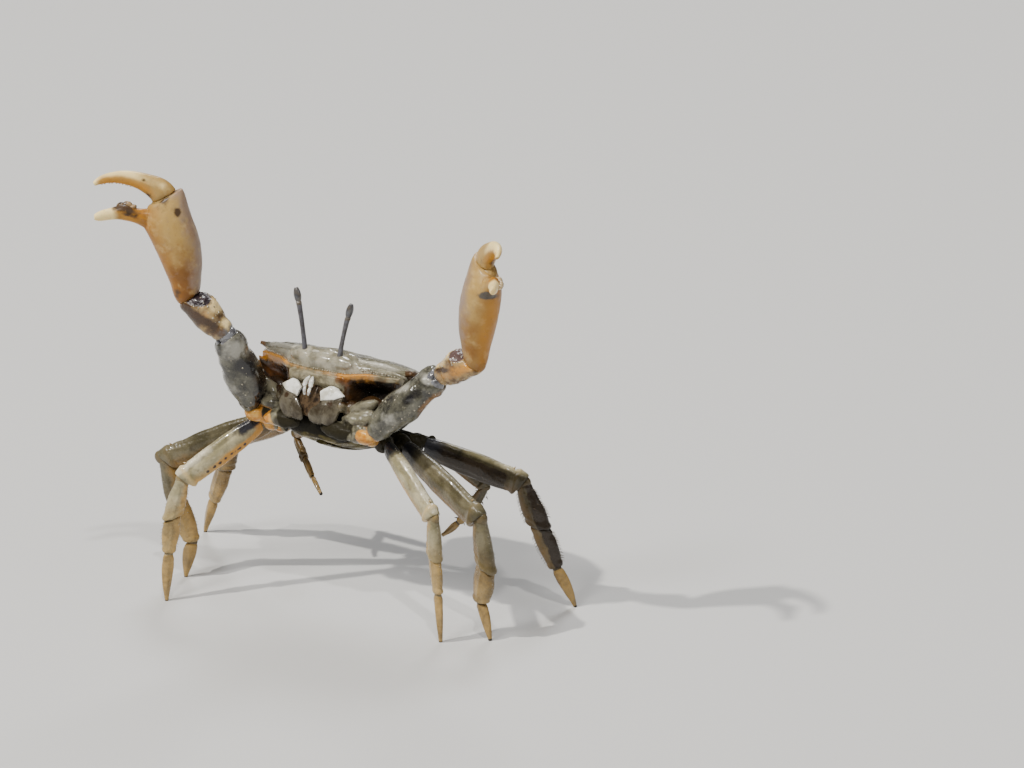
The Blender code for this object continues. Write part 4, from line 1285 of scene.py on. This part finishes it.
def make_eye_band():
    """The glistening grey band between the ridge and the shell's edge, swollen around the eyestalks."""
    band = bmesh.new()
    stations = []
    for number in range(49):
        x = -12.3 + 24.6 * number / 48
        out = abs(x) / 12.3
        front, level = ridge_line(x)
        top = -0.25 + 0.90 * float(smoothstep(-abs(x), -6.2, -4.2)) + 0.10 * sin(x * 1.9)
        high = (top - level) * (1 - 0.55 * out ** 8) + 0.25
        deep = 2.1 - 0.9 * out
        centre = trunk_point(x, front + 0.5 * deep + 0.10 + 0.6 * out, (top + level) / 2 + 0.1)
        stations.append((centre, high, deep))
    tube(band, stations, trunk_way(0, 0, 1), 16)
    for centre, wide in (((-3.1, -3.7, -0.65), 2.4), ((3.1, -3.7, -0.65), 2.4), ((0.0, -3.9, -0.8), 2.6)):
        trunk_ball(band, centre, (wide, 0.7, 0.9))
    skin = Skin("eye_band", mesh=melted(band, grain=0.16, rounds=14))
    x, y, z = to_trunk(skin.points)
    skin.roughen(0.045, 0.012, 47)
    skin.marks["orange"] = 0.45 * bump_at(z - ridge_height(x), 0.0, 0.6) * smoothstep(-np.abs(x), -12, -11)
    beads = bmesh.new()
    for number in range(17):
        column = BAND_BEADS_START[0] + number * BAND_BEADS_STEP[0]
        row = BAND_BEADS_START[1] + number * BAND_BEADS_STEP[1]
        bead(beads, skin.seen_at(column, row), 0.14 + 0.02 * sin(number * 2.9))
    added("eye_band_beads", beads, "bead", "front_shell")
    skin.done("lobe", "front_shell")


def make_mouth_plate(side):
    """The outer mouth plate: grey below a white upper edge, with one furrow down it."""
    skin = Skin(side + "_maxilliped", 4)
    x, y, z = to_trunk(skin.points)
    x = np.abs(x)
    skin.points += (0.14 * (x - 2.2))[:, None] * np.array(trunk_way(0, 1, 0))
    skin.roughen(0.09, 0.015, 51)
    edge = np.interp(x, (2.1, 4.2, 5.5), (-6.40, -5.95, -5.2))
    furrow = bump_at(x - 2.9 - 0.1 * (z + 8), 0, 0.28) * (z < -7)
    skin.push(-0.14 * bump_at(z, edge - 0.08, 0.13) - 0.16 * furrow)
    lower = smoothstep(edge - z, 0.0, 0.2)
    inner = 0.8 * smoothstep(-(x + 0.5 * (z + 8.2)), -1.0, -0.5) * smoothstep(z, -8.7, -8.1)
    skin.marks["white"] = smoothstep(z - edge, -0.12, 0.12)
    skin.marks["brown"] = np.clip(inner + bump_at(np.hypot(x - 3.8, z + 6.55), 0, 0.5), 0, 1) * lower
    skin.marks["rim"] = 0.5 * smoothstep(x, 4.4, 4.9) * lower
    skin.done("mouth", "mouth_plates")


def make_palps():
    """Two white two-piece palps, side by side over the mouth."""
    upper = ((0.24, -4.9, -3.45, 0.26, 0.24), (0.36, -5.1, -3.8, 0.60, 0.46),
             (0.47, -5.25, -4.35, 0.78, 0.54), (0.55, -5.25, -4.8, 0.64, 0.48),
             (0.50, -5.2, -5.05, 0.30, 0.30))
    lower = ((0.46, -5.15, -4.95, 0.34, 0.30), (0.42, -5.2, -5.4, 0.50, 0.42), (0.36, -5.1, -5.9, 0.42, 0.36),
             (0.30, -5.0, -6.1, 0.20, 0.20))
    palps = bmesh.new()
    for sign in (1, -1):
        for stations in (upper, lower):
            tube(palps, [(trunk_point(sign * x, y, z), wide, deep) for x, y, z, wide, deep in stations],
                 Vector((1, 0, 0)), 12)
    added("mouth_palps", palps, "palp", "mouth_plates")


def make_cheek(side):
    """The brown wall between the mouth plate and the claw."""
    cheek = bmesh.new()
    for (x, y, z), half_sizes in (((5.1, -3.5, -6.6), (0.9, 0.6, 0.9)), ((6.3, -2.4, -6.6), (1.9, 0.9, 1.3)),
                                  ((8.4, -0.9, -5.6), (2.2, 0.9, 1.6)), ((10.2, 0.7, -4.2), (2.2, 0.9, 2.4))):
        trunk_ball(cheek, (SIGN[side] * x, y, z), half_sizes)
    skin = Skin(side + "_cheek", mesh=melted(cheek, grain=0.18, rounds=8))
    skin.roughen(0.12, 0.03, 55)
    skin.marks["brown"] = 0.55 + 0.4 * smoothstep(to_trunk(skin.points)[2], -6.8, -5.4)
    # A little of the near-black painted shade of the cheek hollows
    skin.marks["hollow"] = 0.25
    skin.paint_ovals()
    skin.done("face", "mouth_plates")


def make_mouth():
    for side in SIDES:
        make_mouth_plate(side)
    make_palps()
    for side in SIDES:
        make_cheek(side)
    floor = bmesh.new()
    ball(floor, trunk_point(0, -3.45, -6.6), trunk_way(2.5, 0, 0), trunk_way(0, 0, 2.3), trunk_way(0, 0.5, 0),
         24, 14)
    ball(floor, trunk_point(0, 2.6, -6.4), trunk_way(9.6, 0, 0), trunk_way(0, 0, 2.6), trunk_way(0, 3.8, 0),
         32, 18)
    added("mouth_floor", floor, "mouth_skin", "mouth_plates")


def make_underside():
    skin = Skin("thorax")
    x, y, z = to_trunk(skin.points)
    x = np.abs(x)
    below = smoothstep(-z, 9.0, 10.5)
    seams = sum(bump_at(y - (start + 0.10 * (x - 4)), 0, 0.16) for start in (0.2, 2.9, 5.7, 8.5)) * below
    seams = np.clip(seams, 0, 1) * smoothstep(x, 2.6, 3.4)
    skin.push(-0.14 * seams)
    skin.roughen(0.06, 0.015, 61)
    skin.marks["groove"] = 0.8 * seams
    # Painted shade and dark wet skin under the mouth plates and beside the leg bases
    skin.marks["wet"] = (smoothstep(z + 0.25 * (y + 2.7), -11.1, -10.5) * (y < 0.5)
                         + 0.8 * smoothstep(x, 6.5, 7.8))
    skin.marks["rim"] = 0.9 * bump_at(z + 0.10 * y, -11.75, 0.22) * smoothstep(y, -2.4, -1.6) * (y < 1.5)
    skin.done("under", "under_shell")

    skin = Skin("abdomen", 4)
    y = to_trunk(skin.points)[1]
    seams = np.clip(sum(bump_at(y, start, 0.12) for start in (2.3, 3.9, 5.4, 6.9, 8.4, 9.8)), 0, 1)
    skin.push(-0.07 * seams)
    skin.marks["groove"] = 0.7 * seams
    skin.done("under", "under_shell")


def make_eyes():
    for side in SIDES:
        skin = Skin(side + "_eyestalk")
        height = skin.points[:, 2]
        skin.marks["along"] = (height - height.min()) / (height.max() - height.min())
        skin.roughen(0.02, 0.008, 71)
        skin.done("stalk", "eyestalk_skin")
        Skin(side + "_cornea").done("eye", "cornea")
        # The neck joins the stalk's top to the eye's foot
        top = node_points(side + "_eyestalk")
        top = Vector(top[top[:, 2] > top[:, 2].max() - 0.15].mean(0))
        foot = node_points(side + "_cornea")
        foot = Vector(foot[foot[:, 2] < foot[:, 2].min() + 0.2].mean(0))
        sunk = (foot - top).normalized() * 0.35
        neck = bmesh.new()
        stations = [(top - sunk, 0.70, 0.70), (top, 0.80, 0.80),
                    (foot, 0.80, 0.80), (foot + sunk, 0.62, 0.62)]
        tube(neck, stations, Vector((1, 0, 0)), 14)
        added(side + "_eye_neck", neck, "stalk", "eyestalk_skin")


# The stage

# Each light's azimuth and elevation in degrees, distance and size in metres, watts and colour
LIGHTS = {
    "key": (-5, 55, 0.9, 0.22, 3.2, (1.0, 0.97, 0.92)),
    "small_bright": (-35, 55, 1.2, 0.035, 15.0, (1.0, 0.96, 0.88)),
    "second_bright": (45, 64, 1.2, 0.035, 5.5, (1.0, 0.97, 0.92)),
    "fill": (95, 30, 0.9, 0.6, 1.0, (1.0, 1.0, 1.0)),
    "rim": (205, 45, 0.9, 0.3, 4.0, (1.0, 1.0, 1.0)),
}


def make_stage():
    bm = bmesh.new()
    bmesh.ops.create_grid(bm, x_segments=1, y_segments=1, size=3.0)
    mesh = bpy.data.meshes.new("floor")
    bm.to_mesh(mesh)
    bm.free()
    floor = bpy.data.objects.new("floor", mesh)
    bpy.context.scene.collection.objects.link(floor)
    paint = bpy.data.materials.new("pale_floor")
    paint.use_nodes = True
    shader = paint.node_tree.nodes["Principled BSDF"]
    shader.inputs["Base Color"].default_value = (0.56, 0.56, 0.56, 1)
    shader.inputs["Roughness"].default_value = 0.7
    mesh.materials.append(paint)

    world = bpy.data.worlds.new("studio")
    world.use_nodes = True
    back = world.node_tree.nodes["Background"]
    back.inputs["Color"].default_value = (1.0, 0.99, 0.97, 1)
    back.inputs["Strength"].default_value = 0.14
    bpy.context.scene.world = world


def add_light(name, azimuth, elevation, distance, size, power, colour):
    """A round light that faces the crab; its azimuth is counted as a view's is."""
    a, e = radians(azimuth), radians(elevation)
    way = Vector((sin(a) * cos(e), -cos(a) * cos(e), sin(e)))
    lamp = bpy.data.lights.new(name, "AREA")
    lamp.shape = "DISK"
    lamp.size = size
    lamp.energy = power
    lamp.color = colour
    holder = bpy.data.objects.new(name, lamp)
    holder.location = Vector((0, 0, 0.03)) + way * distance
    holder.rotation_euler = way.to_track_quat("Z", "Y").to_euler()
    bpy.context.scene.collection.objects.link(holder)


def make_camera():
    right, up, back, target = view_frame()
    data = bpy.data.cameras.new("photo_view")
    data.sensor_width = SENSOR_WIDTH
    data.lens = SENSOR_WIDTH * PIXELS_PER_MM * VIEW_DISTANCE / IMAGE_WIDTH
    data.clip_start = 0.05
    data.clip_end = 20
    camera = bpy.data.objects.new("photo_view", data)
    camera.matrix_world = axes_matrix((target + back * VIEW_DISTANCE) * MM, right, up, back)
    bpy.context.scene.collection.objects.link(camera)
    bpy.context.scene.camera = camera


make_back()
make_face()
make_eye_band()
make_mouth()
make_underside()
make_eyes()
for side_number, side_name in enumerate(SIDES):
    make_arm(side_name, 100 + 20 * side_number)
    make_shoulder(side_name, 105 + 20 * side_number)
    make_hand(side_name, 110 + 20 * side_number)
    for leg_number, leg_name in enumerate(LEGS):
        make_leg(side_name, leg_name, 200 + 100 * side_number + 20 * leg_number)

make_stage()
for light_name, light_settings in LIGHTS.items():
    add_light(light_name, *light_settings)
make_camera()
